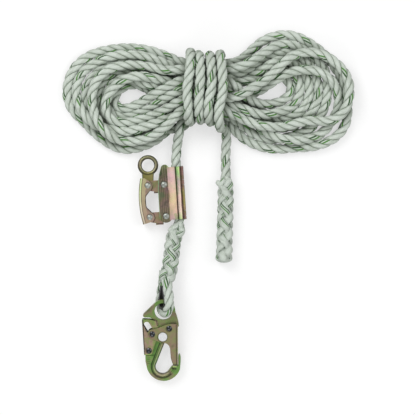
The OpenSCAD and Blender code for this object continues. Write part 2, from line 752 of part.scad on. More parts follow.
// Lever cheek with its slanted slot for the stop rivet
module lever_outline() difference() {
    polygon(concat(
        [[-33.9, -30.5], [-33.2, -29.3], [-31, -28.9], [-20, -29.4], [-11.4, -30.2],
            [-9.4, -31.6], [-8.4, -36], [-7.6, -42], [-8.4, -52], [-10.9, -64], [-15.9, -78]],
        arc(lever_pivot, 7, 10, -100),
        [[-30.6, -87], [-31.2, -78]]));
    dir = unit(slot_top - gate_stop);
    side = [-dir.y, dir.x];
    for (c = [slot_top, gate_stop]) translate(c) circle(r = slot_r);
    polygon([slot_top + slot_r * side, slot_top - slot_r * side, gate_stop - slot_r * side,
        gate_stop + slot_r * side]);
}

// Lock lever: two cheeks joined by a web along the back
module lock_lever() color(zinc_gold) at_hook() difference() {
    union() {
        both_sides(lever_gap, lever_z) lever_outline();
        mid_plate(lever_gap + 0.1) polygon([[-33.9, -30.5], [-33.9 + hook_plate_t, -30.5],
            [-31.2 + hook_plate_t, -78], [-30.6 + hook_plate_t, -87], [-30.6, -87],
            [-31.2, -78]]);
    }
    cross_bore(lever_pivot, hook_rivet_r + run_fit);
}
module lever_pivot_rivet() color(steel) at_hook()
    rivet(lever_pivot, hook_rivet_r, hook_head_d, lever_z);

// Plain round plate with a raised rim on the gate
module gate_badge() color("white") at_hook() translate([badge_at.x, badge_at.y, gate_z]) {
    cylinder(d = badge_d, h = 0.5);
    translate([0, 0, 0.5]) linear_extrude(0.3) difference() {
        circle(d = badge_d);
        circle(d = badge_d - 1.6);
    }
}

// ---- Thimble and rope ----

// Section of the thimble's trough: flat inside, grooved outside for the rope
module trough() difference() {
    translate([thimble_r, -trough_w]) square([trough_deep, 2 * trough_w]);
    translate([loop_r, 0]) circle(r = rope_r + run_fit);
}

// Drop-shaped thimble: an arc and two legs that close towards the splice
module thimble() color(nylon_black) at_loop() {
    leg = thimble_r / tan(loop_taper) - 4;
    rotate([0, 0, 180 - loop_taper]) rotate_extrude(angle = 180 + 2 * loop_taper) trough();
    for (s = [0, 1]) mirror([s, 0, 0]) rotate([0, 0, loop_taper]) translate([0, leg, 0])
        rotate([90, 0, 0]) linear_extrude(leg) trough();
}

// Point of the grab's rope axis at height y along the body
function on_axis(y) = grab_pos + [-sin(grab_lean) * y, cos(grab_lean) * y, 0];

// Point of the loop's plane: x across it, y towards the splice
function in_loop(x, y) = loop_at + [-x * sin(loop_lean), y, -x * cos(loop_lean)];

// Point on the loop's straight leg, s of the way to the throat on side d
function on_leg(d, s) = in_loop(
    d * (loop_r * cos(loop_taper) - s * leg_run * sin(loop_taper)),
    loop_r * sin(loop_taper) + s * leg_run * cos(loop_taper));

module lead_rope() color(rope_white)
    let (p = concat(lead_points, [for (y = channel_stretch) on_axis(y)]))
    tube(p, [for (q = p) rope_r]);

module eye_rope() color(rope_white)
    let (p = concat([for (s = [1, 0.66, 0.33]) on_leg(-1, s)],
        [for (k = [0:10]) let (a = 180 - loop_taper + k * loop_step)
            in_loop(loop_r * cos(a), loop_r * sin(a))],
        [for (s = [0.33, 0.66, 1]) on_leg(1, s)]))
    tube(p, [for (q = p) rope_r]);

module eye_splice() color(rope_white)
    woven(concat([on_axis(-48)], splice_points, [in_loop(0, throat)]),
        [[0, 0.62], [0.1, 0.94], [0.2, 1], [0.8, 1], [0.92, 1.06], [1, 1.02]]);

module tail_rope() color(rope_white) tube(tail_points, [for (q = tail_points) rope_r]);
module back_splice() color(rope_white)
    woven(back_points, [[0, 0.6], [0.1, 0.94], [0.2, 1], [0.94, 1], [1, 0.72]]);

// ---- Hank ----

module hank_left() color(rope_white) lobe(left_outline, left_hole, hank_h);
module hank_right() color(rope_white) lobe(right_outline, right_hole, hank_h);

// Bundle under the wraps, between the two lobes
module hank_waist() color(rope_white) {
    r = waist_h / 2;
    translate([left_outline[0].x, 0, rope_d + r]) rotate([90, 0, 90])
        linear_extrude(right_outline[0].x - left_outline[0].x) {
            translate([waist_low + r, -r]) square([waist_high - waist_low - 2 * r, waist_h]);
            for (y = [waist_low + r, waist_high - r]) translate([y, 0]) circle(r = r);
        }
}

// One wrap: a flattened ring of rope standing across the bundle
module wrap_ring(x, low, high) {
    turn = (waist_h + rope_d) / 2;
    translate([x, 0, rope_r + turn]) rotate([90, 0, 90]) {
        for (s = [0, 1]) translate([s == 0 ? low + turn : high - turn, 0, 0])
            rotate([0, 0, s == 0 ? 90 : -90]) rotate_extrude(angle = 180)
                translate([turn, 0]) circle(r = rope_r, $fn = 24);
        for (s = [-1, 1]) translate([low + turn, s * turn, 0]) rotate([0, 90, 0])
            cylinder(r = rope_r, h = high - low - 2 * turn, $fn = 24);
    }
}
module hank_wraps() color(rope_white)
    for (i = [0:len(wrap_x) - 1]) wrap_ring(wrap_x[i], wrap_low[i], wrap_high[i]);

rear_shell();
front_shell();
hinge_pin();
upper_body_pin();
lower_body_pin();
upper_lock_screw();
lower_lock_screw();
cam_washers();
upper_arm();
lower_arm();
upper_cam();
lower_cam();
cam_spring();
handle();
upper_handle_rivet();
lower_handle_rivet();
connector_eye();
hook_frame();
hook_gate();
gate_pivot_rivet();
gate_stop_rivet();
gate_spring();
lock_lever();
lever_pivot_rivet();
gate_badge();
thimble();
lead_rope();
eye_rope();
eye_splice();
hank_left();
hank_right();
hank_waist();
hank_wraps();
tail_rope();
back_splice();
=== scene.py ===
"""Rope grab on a three-strand lifeline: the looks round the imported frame.

The steel pieces are the frame's own nodes with plated finishes. The rope, its splices and
its hank are laid here as real three-strand rope. Lengths are in metres where a name or a
comment does not say millimetres.
"""

import logging
import math
from collections.abc import Callable, Sequence
from dataclasses import dataclass, field
from enum import Enum
from functools import reduce
from typing import Any

import bpy
import numpy as np
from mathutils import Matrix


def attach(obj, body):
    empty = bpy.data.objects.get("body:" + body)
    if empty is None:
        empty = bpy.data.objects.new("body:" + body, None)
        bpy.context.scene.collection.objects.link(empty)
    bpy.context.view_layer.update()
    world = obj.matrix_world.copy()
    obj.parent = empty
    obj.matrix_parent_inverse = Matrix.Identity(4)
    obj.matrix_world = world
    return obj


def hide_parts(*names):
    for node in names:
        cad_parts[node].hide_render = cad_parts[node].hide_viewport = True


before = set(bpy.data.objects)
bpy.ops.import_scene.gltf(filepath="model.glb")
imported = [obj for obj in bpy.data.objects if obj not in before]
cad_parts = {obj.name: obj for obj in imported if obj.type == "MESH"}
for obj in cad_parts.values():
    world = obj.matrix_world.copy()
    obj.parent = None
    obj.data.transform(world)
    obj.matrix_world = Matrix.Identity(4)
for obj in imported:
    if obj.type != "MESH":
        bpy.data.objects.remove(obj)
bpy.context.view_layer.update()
MM = 0.001
log = logging.getLogger("rope_grab")

GAIN = 1.12  # brightness of a base colour over that of the display colour it shows as
GAMMA = 2.2  # of the display

Colour = tuple[float, float, float]
Ramp = tuple[tuple[float, Colour], ...]
Points = np.ndarray


# ---- Shader graphs ----


def math_node(operation: str, swapped: bool = False) -> Callable[..., "Socket"]:
    """Makes a method of Socket.

    Args:
        operation: the Math node's operation.
        swapped: True if the other value comes first.

    Returns:
        The method, which adds the node and gives its result.
    """

    def method(self: "Socket", *others: "Socket | float") -> "Socket":
        """Adds the Math node."""
        values = (*others, self) if swapped else (self, *others)
        return self.graph.math(operation, *values)

    return method


class Socket:
    """One value in a shader graph; Python's operators add Math nodes to it."""

    __add__ = __radd__ = math_node("ADD")
    __sub__ = math_node("SUBTRACT")
    __rsub__ = math_node("SUBTRACT", swapped=True)
    __mul__ = __rmul__ = math_node("MULTIPLY")
    __truediv__ = math_node("DIVIDE")
    __pow__ = math_node("POWER")
    __abs__ = math_node("ABSOLUTE")
    fract = math_node("FRACT")
    floor = math_node("FLOOR")
    sine = math_node("SINE")

    def __init__(self, graph: "Graph", link: Any) -> None:
        """Keeps the graph and the node socket that gives the value."""
        self.graph = graph
        self.link = link

    def rise(self, low: float, high: float) -> "Socket":
        """Smooth step.

        Args:
            low: value where the result is 0.
            high: value where the result is 1.

        Returns:
            A value from 0 to 1.
        """
        return self.graph.add(
            "ShaderNodeMapRange",
            {"Value": self, "From Min": low, "From Max": high},
            interpolation_type="SMOOTHSTEP",
        )


class Graph:
    """Node tree of a material or of the world."""

    def __init__(self, owner: bpy.types.Material | bpy.types.World) -> None:
        """Empties the owner's node tree."""
        owner.use_nodes = True
        self.owner = owner
        self.tree = owner.node_tree
        self.tree.nodes.clear()

    @classmethod
    def material(cls, name: str) -> "Graph":
        """Starts an empty material of that name."""
        return cls(bpy.data.materials.new(name))

    def add(
        self,
        kind: str,
        inputs: dict[str | int, Any] | None = None,
        output: str | int | None = 0,
        stops: Sequence[tuple[float, Colour]] = (),
        **settings: Any,
    ) -> Socket | None:
        """Adds one node.

        Args:
            kind: Blender's type name of the node.
            inputs: values or sockets by input name or number, set after the settings.
            output: name or number of the output that is wanted, or None.
            stops: places and colours of a colour ramp.
            settings: the node's own properties.

        Returns:
            The wanted output, if there is one.
        """
        node = self.tree.nodes.new(kind)
        for key, value in settings.items():
            setattr(node, key, value)
        if stops:
            while len(node.color_ramp.elements) < len(stops):
                node.color_ramp.elements.new(0.5)
            for element, (place, colour) in zip(node.color_ramp.elements, stops):
                element.position = place
                element.color = (*colour, 1.0)
        for key, value in (inputs or {}).items():
            if isinstance(value, Socket):
                self.tree.links.new(value.link, node.inputs[key])
            else:
                node.inputs[key].default_value = value
        return None if output is None else Socket(self, node.outputs[output])

    def math(self, operation: str, *values: "Socket | float") -> Socket:
        """Adds a Math node of that operation on the values."""
        return self.add("ShaderNodeMath", dict(enumerate(values)), operation=operation)

    def mix(self, share: "Socket | float", low: Any, high: Any) -> Socket:
        """Mixes two colours.

        Args:
            share: part of the second colour, from 0 to 1.
            low: first colour, as three numbers or a socket.
            high: second colour.

        Returns:
            The mixed colour.
        """
        pair = [c if isinstance(c, Socket) else (*c, 1.0) for c in (low, high)]
        return self.add(
            "ShaderNodeMix", {0: share, 6: pair[0], 7: pair[1]}, 2, data_type="RGBA"
        )

    def place(self) -> Socket:
        """Object coordinates."""
        return self.add("ShaderNodeTexCoord", output="Object")

    def local(self, at: Socket, centre: Sequence[float], turn: float) -> list[Socket]:
        """Reads a place in a frame of its own, as seen from above.

        Args:
            at: the place.
            centre: x, y of the frame's centre, in metres.
            turn: angle of the frame's first axis, in radians.

        Returns:
            Distances along the frame's first and second axis.
        """
        x, y = centre
        cos, sin = math.cos(turn), math.sin(turn)
        shift = (-x * cos - y * sin, x * sin - y * cos, 0.0)
        turned = {"Vector": at, "Location": shift, "Rotation": (0.0, 0.0, -turn)}
        return self.axes(self.add("ShaderNodeMapping", turned))[:2]

    def noise(self, vector: Socket, scale: float, detail: float = 3.0) -> Socket:
        """Cloudy noise, about 0.5 on average."""
        return self.add(
            "ShaderNodeTexNoise", {"Vector": vector, "Scale": scale, "Detail": detail}
        )

    def axes(self, vector: Socket) -> list[Socket]:
        """The three parts of a vector."""
        node = self.add("ShaderNodeSeparateXYZ", {0: vector}).link.node
        return [Socket(self, out) for out in node.outputs]

    def vector(self, x: Any = 0.0, y: Any = 0.0, z: Any = 0.0) -> Socket:
        """A vector from its three parts."""
        return self.add("ShaderNodeCombineXYZ", {0: x, 1: y, 2: z})

    def bump(self, height: Socket, depth: float) -> Socket:
        """Normal of a surface raised by height times depth."""
        return self.add("ShaderNodeBump", {"Height": height, "Distance": depth})

    def seen_by(self, *rays: str) -> Socket:
        """1 for rays of these kinds, such as Camera, and 0 for the rest."""
        outputs = self.add("ShaderNodeLightPath").link.node.outputs
        masks = [Socket(self, outputs[f"Is {ray} Ray"]) for ray in rays]
        return reduce(lambda one, two: self.math("MAXIMUM", one, two), masks)

    def finish(self, **values: Any) -> bpy.types.Material:
        """Closes the material with a Principled shader.

        Args:
            values: the shader's sockets, with _ for a space; colours as three numbers.

        Returns:
            The material.
        """
        inputs = {}
        for key, value in values.items():
            name = " ".join(w if w == "IOR" else w.capitalize() for w in key.split("_"))
            is_colour = isinstance(value, tuple) and len(value) == 3
            inputs[name] = (*value, 1.0) if is_colour else value
        shader = self.add("ShaderNodeBsdfPrincipled", inputs)
        self.add("ShaderNodeOutputMaterial", {0: shader}, None)
        return self.owner


# ---- Finishes ----


def ink(red: float, green: float, blue: float) -> Colour:
    """Base colour that shows as the given display colour, 0 to 255, under the lamps."""
    return tuple(GAIN * (c / 255) ** GAMMA for c in (red, green, blue))


def ramp(*stops: tuple[float, float, float, float]) -> Ramp:
    """Places and base colours of a colour ramp, from places and display colours."""
    return tuple((place, ink(*colour)) for place, *colour in stops)


# dark lines: painted shade along edges, in grooves and round rivets, and the hook's stamped marks
DARK = ink(40, 40, 32)


@dataclass(frozen=True)
class Line:
    """Straight runs of colour on a piece, such as painted shade along an edge: a mask of distance.

    Fields:
        points: corners of the line as seen from above, in millimetres.
        width: width of the line, in millimetres.
        colour: its colour.
        share: how much of the colour shows.
    """

    points: tuple
    width: float
    colour: Colour = DARK
    share: float = 0.75

    def inside(self, gap: Socket) -> Socket:
        """1 where the gap to the mark's middle is under half its width, with a soft edge."""
        half = self.width / 2
        return gap.rise((half + 0.4) * MM, (half - 0.2) * MM)

    def mask(self, g: Graph, at: Socket) -> Socket:
        """1 on the line and 0 beside it: the nearest of its runs decides."""
        gaps = []
        for (x, y), (x_end, y_end) in zip(self.points, self.points[1:]):
            turn = math.atan2(y_end - y, x_end - x)
            half = math.hypot(x_end - x, y_end - y) * MM / 2
            along, across = g.local(at, (x * MM, y * MM), turn)
            past = g.math("MAXIMUM", abs(along - half) - half, 0.0)
            gaps.append((past * past + across * across) ** 0.5)
        return self.inside(reduce(lambda one, two: g.math("MINIMUM", one, two), gaps))


@dataclass(frozen=True)
class Hoop(Line):
    """A ring of colour round a centre, or a hoop with one straight leg.

    Fields:
        radius: radius of the ring, in millimetres.
        leg: length of the leg that leaves the ring on its left, in millimetres, or 0.
        lean: turn of the leg to the right of straight up, in degrees.
    """

    radius: float = 5.0
    leg: float = 0.0
    lean: float = 0.0

    def mask(self, g: Graph, at: Socket) -> Socket:
        """1 on the ring; above its middle a hoop's distance is that from its leg."""
        centre = [c * MM for c in self.points[0]]
        across, along = g.local(at, centre, -math.radians(self.lean))
        low = g.math("MINIMUM", along, 0.0) if self.leg else along
        on = self.inside(abs((across * across + low * low) ** 0.5 - self.radius * MM))
        if self.leg:
            on = on * along.rise((self.leg + 1) * MM, (self.leg - 1) * MM)
            # a hoop is open at its right, from 5 mm below its middle upwards
            on = on * (1.0 - across.rise(0.0, 2 * MM) * along.rise(-6.5 * MM, -4.5 * MM))
        return on


def rings(width: float, radius: float, *centres: tuple[float, float]) -> tuple[Hoop, ...]:
    """Thin rings of painted shade of one size, such as those round the heads of rivets, in mm."""
    return tuple(Hoop((centre,), width, share=0.6, radius=radius) for centre in centres)


@dataclass(frozen=True)
class PlatedSteel:
    """Zinc-plated and passivated steel with drifting interference tints.

    Fields:
        name: name of the material.
        tints: ramp of the tints along the drift.
        patch: size of a tint patch, in metres.
        roughness: mean roughness.
        grain: depth of the fine pressing grain, in metres.
        metallic: metallic share.
        marks: lines and rings on top of the tints: mostly painted shade and painted highlights,
            with a few stamped marks and patches of plain colour.
    """

    name: str
    tints: Ramp
    patch: float = 0.016
    roughness: float = 0.36
    grain: float = 0.00005
    metallic: float = 0.85
    marks: tuple[Line, ...] = ()

    def tint(self, g: Graph, at: Socket) -> Socket:
        """Colour of the plating: a ramp read along two mixed clouds of noise."""
        broad = g.noise(at, 1.0 / self.patch, 2.0)
        small = g.noise(at, 4.2 / self.patch, 4.0)
        drift = broad * 0.78 + small * 0.22
        return g.add("ShaderNodeValToRGB", {0: drift}, stops=self.tints)

    def material(self) -> bpy.types.Material:
        """Builds the material."""
        g = Graph.material(self.name)
        at = g.place()
        fine = g.noise(at, 2600.0, 3.0)
        specks = g.noise(at, 620.0, 5.0)
        handled = g.noise(at, 95.0, 4.0).rise(0.42, 0.68)
        colour = self.tint(g, at)
        # marks: mostly painted shade and painted highlights along edges, grooves and rivets
        for mark in self.marks:
            colour = g.mix(mark.mask(g, at) * mark.share, colour, mark.colour)
        dust = specks.rise(0.60, 0.72) * 0.35
        colour = g.mix(dust, colour, (0.20, 0.19, 0.13))
        rough = self.roughness + (fine - 0.5) * 0.16 + handled * 0.10
        height = fine * 0.6 + specks * 0.6
        return g.finish(
            base_color=colour,
            metallic=self.metallic,
            roughness=rough,
            normal=g.bump(height, self.grain),
        )


@dataclass(frozen=True)
class Band:
    """One lengthwise band of a plated piece, in its own frame: bands paint highlights and shade of
    the pressed form over the tints.

    Fields:
        low, high: the band's edges, in metres.
        stops: ramp from 0 to 1 along the piece.
        soft: width of each edge, in metres.
    """

    low: float
    high: float
    stops: Ramp
    soft: float = 0.0005


@dataclass(frozen=True)
class BandedSteel(PlatedSteel):
    """Plated steel whose colours lie in bands, straight or bowed: tints with painted highlights
    and painted shade, and fine ribs of painted shade.

    Fields:
        centre: x, y of the piece's own frame, in metres.
        lean: turn of that frame, in degrees.
        foot: where the bands' colours start along y, and their length, in metres.
        bands: the bands, from left to right.
        ribs: left and right edge of the ribbed stretch and the spacing of its ribs.
        bow: y of the bow's middle and twice its radius; a radius of 0 is straight.
        drift_share: share of the drifting tints that shows through.
    """

    centre: tuple[float, float] = (0.0, 0.0)
    lean: float = 0.0
    foot: tuple[float, float] = (-0.048, 0.094)
    bands: tuple[Band, ...] = ()
    ribs: tuple[float, float, float] = (0.0, 0.0, 0.0)
    bow: tuple[float, float] = (0.0, 0.0)
    drift_share: float = 0.30

    def tint(self, g: Graph, at: Socket) -> Socket:
        """Drifting tints under the bands' own colours, which hold painted highlights and shade,
        and under the ribs' painted shade.
        """
        colour = drift = super().tint(g, at)
        across, along = g.local(at, self.centre, math.radians(self.lean))
        middle, width = self.bow
        if width:
            across = across - (along - middle) * (along - middle) / width
        wander = g.noise(at, 60.0, 3.0) - 0.5
        place = (along - self.foot[0]) / self.foot[1] + wander * 0.10
        across = across + wander * 0.0009
        for band in self.bands:
            inside = across.rise(band.low, band.low + band.soft)
            inside = inside * across.rise(band.high + band.soft, band.high)
            tone = g.add("ShaderNodeValToRGB", {0: place}, stops=band.stops)
            tone = g.mix(self.drift_share, tone, drift)
            colour = g.mix(inside, colour, tone)
        # ribs: stripes of painted shade
        left, right, pitch = self.ribs
        if pitch:
            wave = (across * (2 * math.pi / pitch) + wander * 1.5).sine()
            ribbed = across.rise(left, left + 0.001) * across.rise(right + 0.001, right)
            colour = g.mix(wave.rise(-0.2, 0.9) * ribbed * 0.55, colour, ink(44, 46, 36))
        return colour


@dataclass(frozen=True)
class RopeFibre:
    """Three-strand rope: yarns that run along the rope, with tracer yarns in one strand.

    Fields:
        pitch: length of one turn of a strand, in metres.
        yarns: yarns seen round the rope.
        light, shade: colours of the yarns' crowns and sides.
        groove: painted shade down between two strands, and how much of it shows.
        painted_shade: painted shade of places under and beside higher turns, and how much of it
            shows.
        tracers: the two tracer yarns: place of each in the pair, in turns, and colour.
        tracer_share: how much of the tracers' colour shows.
    """

    name: str = "rope_fibre"
    pitch: float = 0.050
    yarns: int = 30
    light: Colour = (0.66, 0.725, 0.65)
    shade: Colour = (0.36, 0.42, 0.335)
    groove: tuple[Colour, float] = ((0.075, 0.115, 0.055), 0.60)
    # painted shade under and beside higher turns, by the mark that shelter() leaves
    painted_shade: tuple[Colour, float] = ((0.080, 0.115, 0.058), 0.72)
    tracers: Ramp = ((0.0, (0.016, 0.085, 0.008)), (0.09, (0.062, 0.225, 0.018)))
    tracer_share: float = 0.96

    def material(self, loose: bool = False) -> bpy.types.Material:
        """Builds the material.

        Args:
            loose: True for one strand by itself, whose lay is its own.

        Returns:
            The material.
        """
        g = Graph.material(self.name + ("_strand" if loose else ""))
        turn, along, _ = g.axes(g.add("ShaderNodeUVMap", uv_map="lay"))
        still = turn + along * (1.0 / self.pitch)
        yarn = still * float(self.yarns) + along * 60.0
        thread = yarn.fract()
        ridge = (thread * math.pi).sine()
        strand = turn * 3.0 + 0.5
        which = g.vector((yarn * 0.5).floor(), strand.floor(), (along * 24.0).floor())
        tone = g.add("ShaderNodeTexWhiteNoise", {0: which}, noise_dimensions="3D")
        fibre = g.noise(g.vector(still * 170.0, along * 90.0), 1.0, 3.0)
        cloud = g.noise(g.place(), 22.0, 2.0)
        # ridge paints each yarn's crown lighter as a painted highlight; tone, fibre and cloud vary
        # the yarns' own tone at random
        bright = ridge * 0.24 + tone * 0.34 + fibre * 0.34 + cloud * 0.30
        if loose:
            colour = g.mix(bright.rise(0.02, 0.80), self.shade, self.light)
            drift = turn + along * 4.0 + cloud * 0.04
            marked = g.noise(g.place(), 26.0, 0.0).rise(0.58, 0.61)
            pairs = (0.25,)
        else:
            side = abs(strand.fract() - 0.5) * 2.0
            # painted shade: each strand darker towards its sides
            bright = bright - side * side * 0.22
            colour = g.mix(bright.rise(0.02, 0.80), self.shade, self.light)
            # painted shade in the grooves between strands and under and beside higher turns
            under = g.add("ShaderNodeAttribute", output="Fac", attribute_name="sheltered")
            for where, (tint, share) in ((side.rise(0.78, 1.0), self.groove),
                                         (under, self.painted_shade)):
                colour = g.mix(where * share, colour, tint)
            drift = turn + along * (1.1 / self.pitch) + cloud * 0.08
            marked = (abs((turn + 0.5).fract() - 0.5) * 3.0).rise(0.50, 0.46)
            pairs = (0.10, 0.60)
        for start in pairs:
            for shift, tint in self.tracers:
                line = abs((drift - (start + shift)).fract() - 0.5).rise(0.471, 0.477)
                colour = g.mix(line * marked * self.tracer_share, colour, tint)
        height = ridge * 0.7 + fibre * 0.5
        return g.finish(
            base_color=colour,
            roughness=0.62 + fibre * 0.22,
            sheen_weight=0.12,
            normal=g.bump(height, 0.00035),
        )


@dataclass(frozen=True)
class PlainFinish:
    """One quiet finish: a colour with fine mottling and a fine grain.

    Fields:
        name: name of the material.
        colour, dark: base colour, and the colour that mottles it.
        roughness, metallic: mean roughness and metallic share.
        scale: how fine the mottling is.
        grain: depth of the grain, in metres.
    """

    name: str
    colour: Colour
    dark: Colour
    roughness: float
    metallic: float = 0.0
    scale: float = 320.0
    grain: float = 0.00006

    def material(self) -> bpy.types.Material:
        """Builds the material."""
        g = Graph.material(self.name)
        at = g.place()
        cloud = g.noise(at, self.scale, 5.0)
        fine = g.noise(at, self.scale * 7.0, 2.0)
        return g.finish(
            base_color=g.mix(cloud.rise(0.35, 0.75), self.colour, self.dark),
            metallic=self.metallic,
            roughness=self.roughness + (fine - 0.5) * 0.2,
            normal=g.bump(cloud * 0.7 + fine * 0.5, self.grain),
        )


# ---- Mesh helpers ----


def surface(name: str, grid: Points, uv: Points) -> bpy.types.Object:
    """Closed tube of rings, capped at both ends.

    The surface is a grid of rows by columns whose columns close on themselves.

    Args:
        name: name of the piece.
        grid: rows x columns x 3 points, each row counter-clockwise seen from its end.
        uv: rows x (columns + 1) x 2 values for the UV map "lay".

    Returns:
        The new object.
    """
    rows, cols, _ = grid.shape
    r, c = np.meshgrid(np.arange(rows - 1), np.arange(cols), indexing="ij")
    n = (c + 1) % cols
    quads = np.stack([r * cols + c, r * cols + n, (r + 1) * cols + n, (r + 1) * cols + c], -1)
    first = np.arange(cols)[::-1]
    last = (rows - 1) * cols + np.arange(cols)
    loops = np.concatenate([quads.reshape(-1), first, last])
    sizes = np.concatenate([np.full((rows - 1) * cols, 4), [cols, cols]])
    mesh = bpy.data.meshes.new(name)
    mesh.vertices.add(rows * cols)
    mesh.vertices.foreach_set("co", grid.astype(np.float32).ravel())
    mesh.loops.add(len(loops))
    mesh.loops.foreach_set("vertex_index", loops.astype(np.int32))
    mesh.polygons.add(len(sizes))
    starts = np.concatenate([[0], np.cumsum(sizes)[:-1]])
    mesh.polygons.foreach_set("loop_start", starts.astype(np.int32))
    mesh.polygons.foreach_set("loop_total", sizes.astype(np.int32))
    mesh.polygons.foreach_set("use_smooth", np.ones(len(sizes), bool))
    corner = np.stack([uv[r, c], uv[r, c + 1], uv[r + 1, c + 1], uv[r + 1, c]], 2)
    both = np.concatenate([corner.reshape(-1, 2), uv[0, first], uv[-1, :cols]])
    mesh.uv_layers.new(name="lay").data.foreach_set("uv", both.astype(np.float32).ravel())
    mesh.update(calc_edges=True)
    mesh.validate()
    piece = bpy.data.objects.new(name, mesh)
    bpy.context.scene.collection.objects.link(piece)
    return piece


def spline(points: Points, per: int = 16) -> Points:
    """Smooth curve through points: each span is a cubic that keeps its ends' slopes.

    Args:
        points: n x 3 points.
        per: steps a span.

    Returns:
        The points of the curve.
    """
    p = np.asarray(points, float)
    e = np.vstack([2 * p[0] - p[1], p, 2 * p[-1] - p[-2]])
    a, b, c, d = (e[i : len(e) - 3 + i][:, None, :] for i in range(4))
    t = (np.arange(per) / per)[None, :, None]
    q = 2 * b + (c - a) * t + (2 * a - 5 * b + 4 * c - d) * t**2
    q = 0.5 * (q + (3 * b - a - 3 * c + d) * t**3)
    return np.vstack([q.reshape(-1, 3), p[-1:]])


def lengths(points: Points) -> Points:
    """Distance of each point from the first, along the line."""
    return np.concatenate([[0], np.cumsum(np.linalg.norm(np.diff(points, axis=0), axis=1))])


def resample(points: Points, old: Points, new: Points) -> Points:
    """Reads a line, whose points lie at the old places, at new places."""
    return np.stack([np.interp(new, old, axis) for axis in points.T], 1)


def evenly(points: Points, step: float) -> Points:
    """The same line with points an even step apart."""
    s = lengths(points)
    return resample(points, s, np.linspace(0, s[-1], max(2, round(s[-1] / step) + 1)))


def soften(points: Points, times: int) -> Points:
    """Rounds a line off: each point moves half way to the middle of its neighbours."""
    p = points.copy()
    for _ in range(times):
        p[1:-1] += 0.5 * (0.5 * (p[:-2] + p[2:]) - p[1:-1])
    return p


def unit(vectors: Points) -> Points:
    """Each row's direction, at length 1."""
    return vectors / np.linalg.norm(vectors, axis=-1, keepdims=True)


def headings(points: Points) -> Points:
    """Direction of a line at each of its points."""
    return unit(np.gradient(points, axis=0))


def carried_frame(points: Points) -> tuple[Points, Points]:
    """Side and up along a line, turned as little as possible from ring to ring.

    Args:
        points: n x 3 points.

    Returns:
        Two n x 3 arrays of unit vectors, with side x up = heading.
    """
    head = headings(points)
    side = np.zeros_like(points)
    side[0] = unit(np.cross(head[0], (0, 0, 1) if abs(head[0][2]) < 0.9 else (0, 1, 0)))
    for i in range(1, len(points)):
        side[i] = unit(side[i - 1] - np.dot(side[i - 1], head[i]) * head[i])
    return side, np.cross(head, side)


def sweep(
    name: str,
    path: Points,
    axes: tuple[Points, Points],
    share: Points,
    reach: tuple[Points, Points],
    pitch: float = math.inf,
) -> bpy.types.Object:
    """Carries a ring along a path, turned once a pitch.

    A point is path + reach * cos(angle) * side + reach * sin(angle) * up, with the angle 2 pi
    times the corner's share and the length so far over the pitch.

    Args:
        name: name of the piece.
        path: n x 3 points.
        axes: side and up along the path, n x 3 unit vectors each.
        share: places of the m corners as shares of a turn, with the first one again.
        reach: distances from the path along each axis, which broadcast to n x m.
        pitch: length of one turn of the ring, in metres.

    Returns:
        The piece.
    """
    s = lengths(path)[:, None]
    angle = 2 * math.pi * (share[:-1] + s / pitch)
    across, high = reach[0] * np.cos(angle), reach[1] * np.sin(angle)
    side, up = axes
    grid = path[:, None] + across[..., None] * side[:, None] + high[..., None] * up[:, None]
    return surface(name, grid, np.stack(np.broadcast_arrays(share, s), -1))


# ---- Rope ----


@dataclass
class LaidRope:
    """Right-hand laid rope of three strands.

    The profile falls from the radius at the middle of a strand to the groove as a power of
    the share of the way there, so that strands are full and grooves narrow. It turns once a
    pitch.

    Fields:
        radius: radius of the rope, in metres.
        groove: depth of the grooves as a share of the radius.
        fullness: power of the profile.
        pitch: length of one turn, in metres.
        step: length between two rings, in metres.
        places: corners of one strand, from groove (-1) over its middle (0) to groove (1).
    """

    radius: float = 0.008
    groove: float = 0.40
    fullness: float = 3.0
    pitch: float = 0.050
    step: float = 0.0026
    places: tuple = (-1.0, -0.9, -0.7, -0.37, 0.0, 0.37, 0.7, 0.9)

    def profile(self) -> tuple[Points, Points]:
        """Angles of the corners as shares of a turn, and their distances from the axis."""
        place = np.array(self.places * 3)
        share = (place / 2 + np.repeat(np.arange(3), len(self.places))) / 3
        return share, self.radius * (1 - self.groove * np.abs(place) ** self.fullness)

    def lay(self, name: str, path: Points) -> bpy.types.Object:
        """Carries the profile along a path of n x 3 points."""
        p = evenly(path, self.step)
        share, r = self.profile()
        share = np.append(share, share[0] + 1)
        return sweep(name, p, carried_frame(p), share, (r, r), self.pitch)


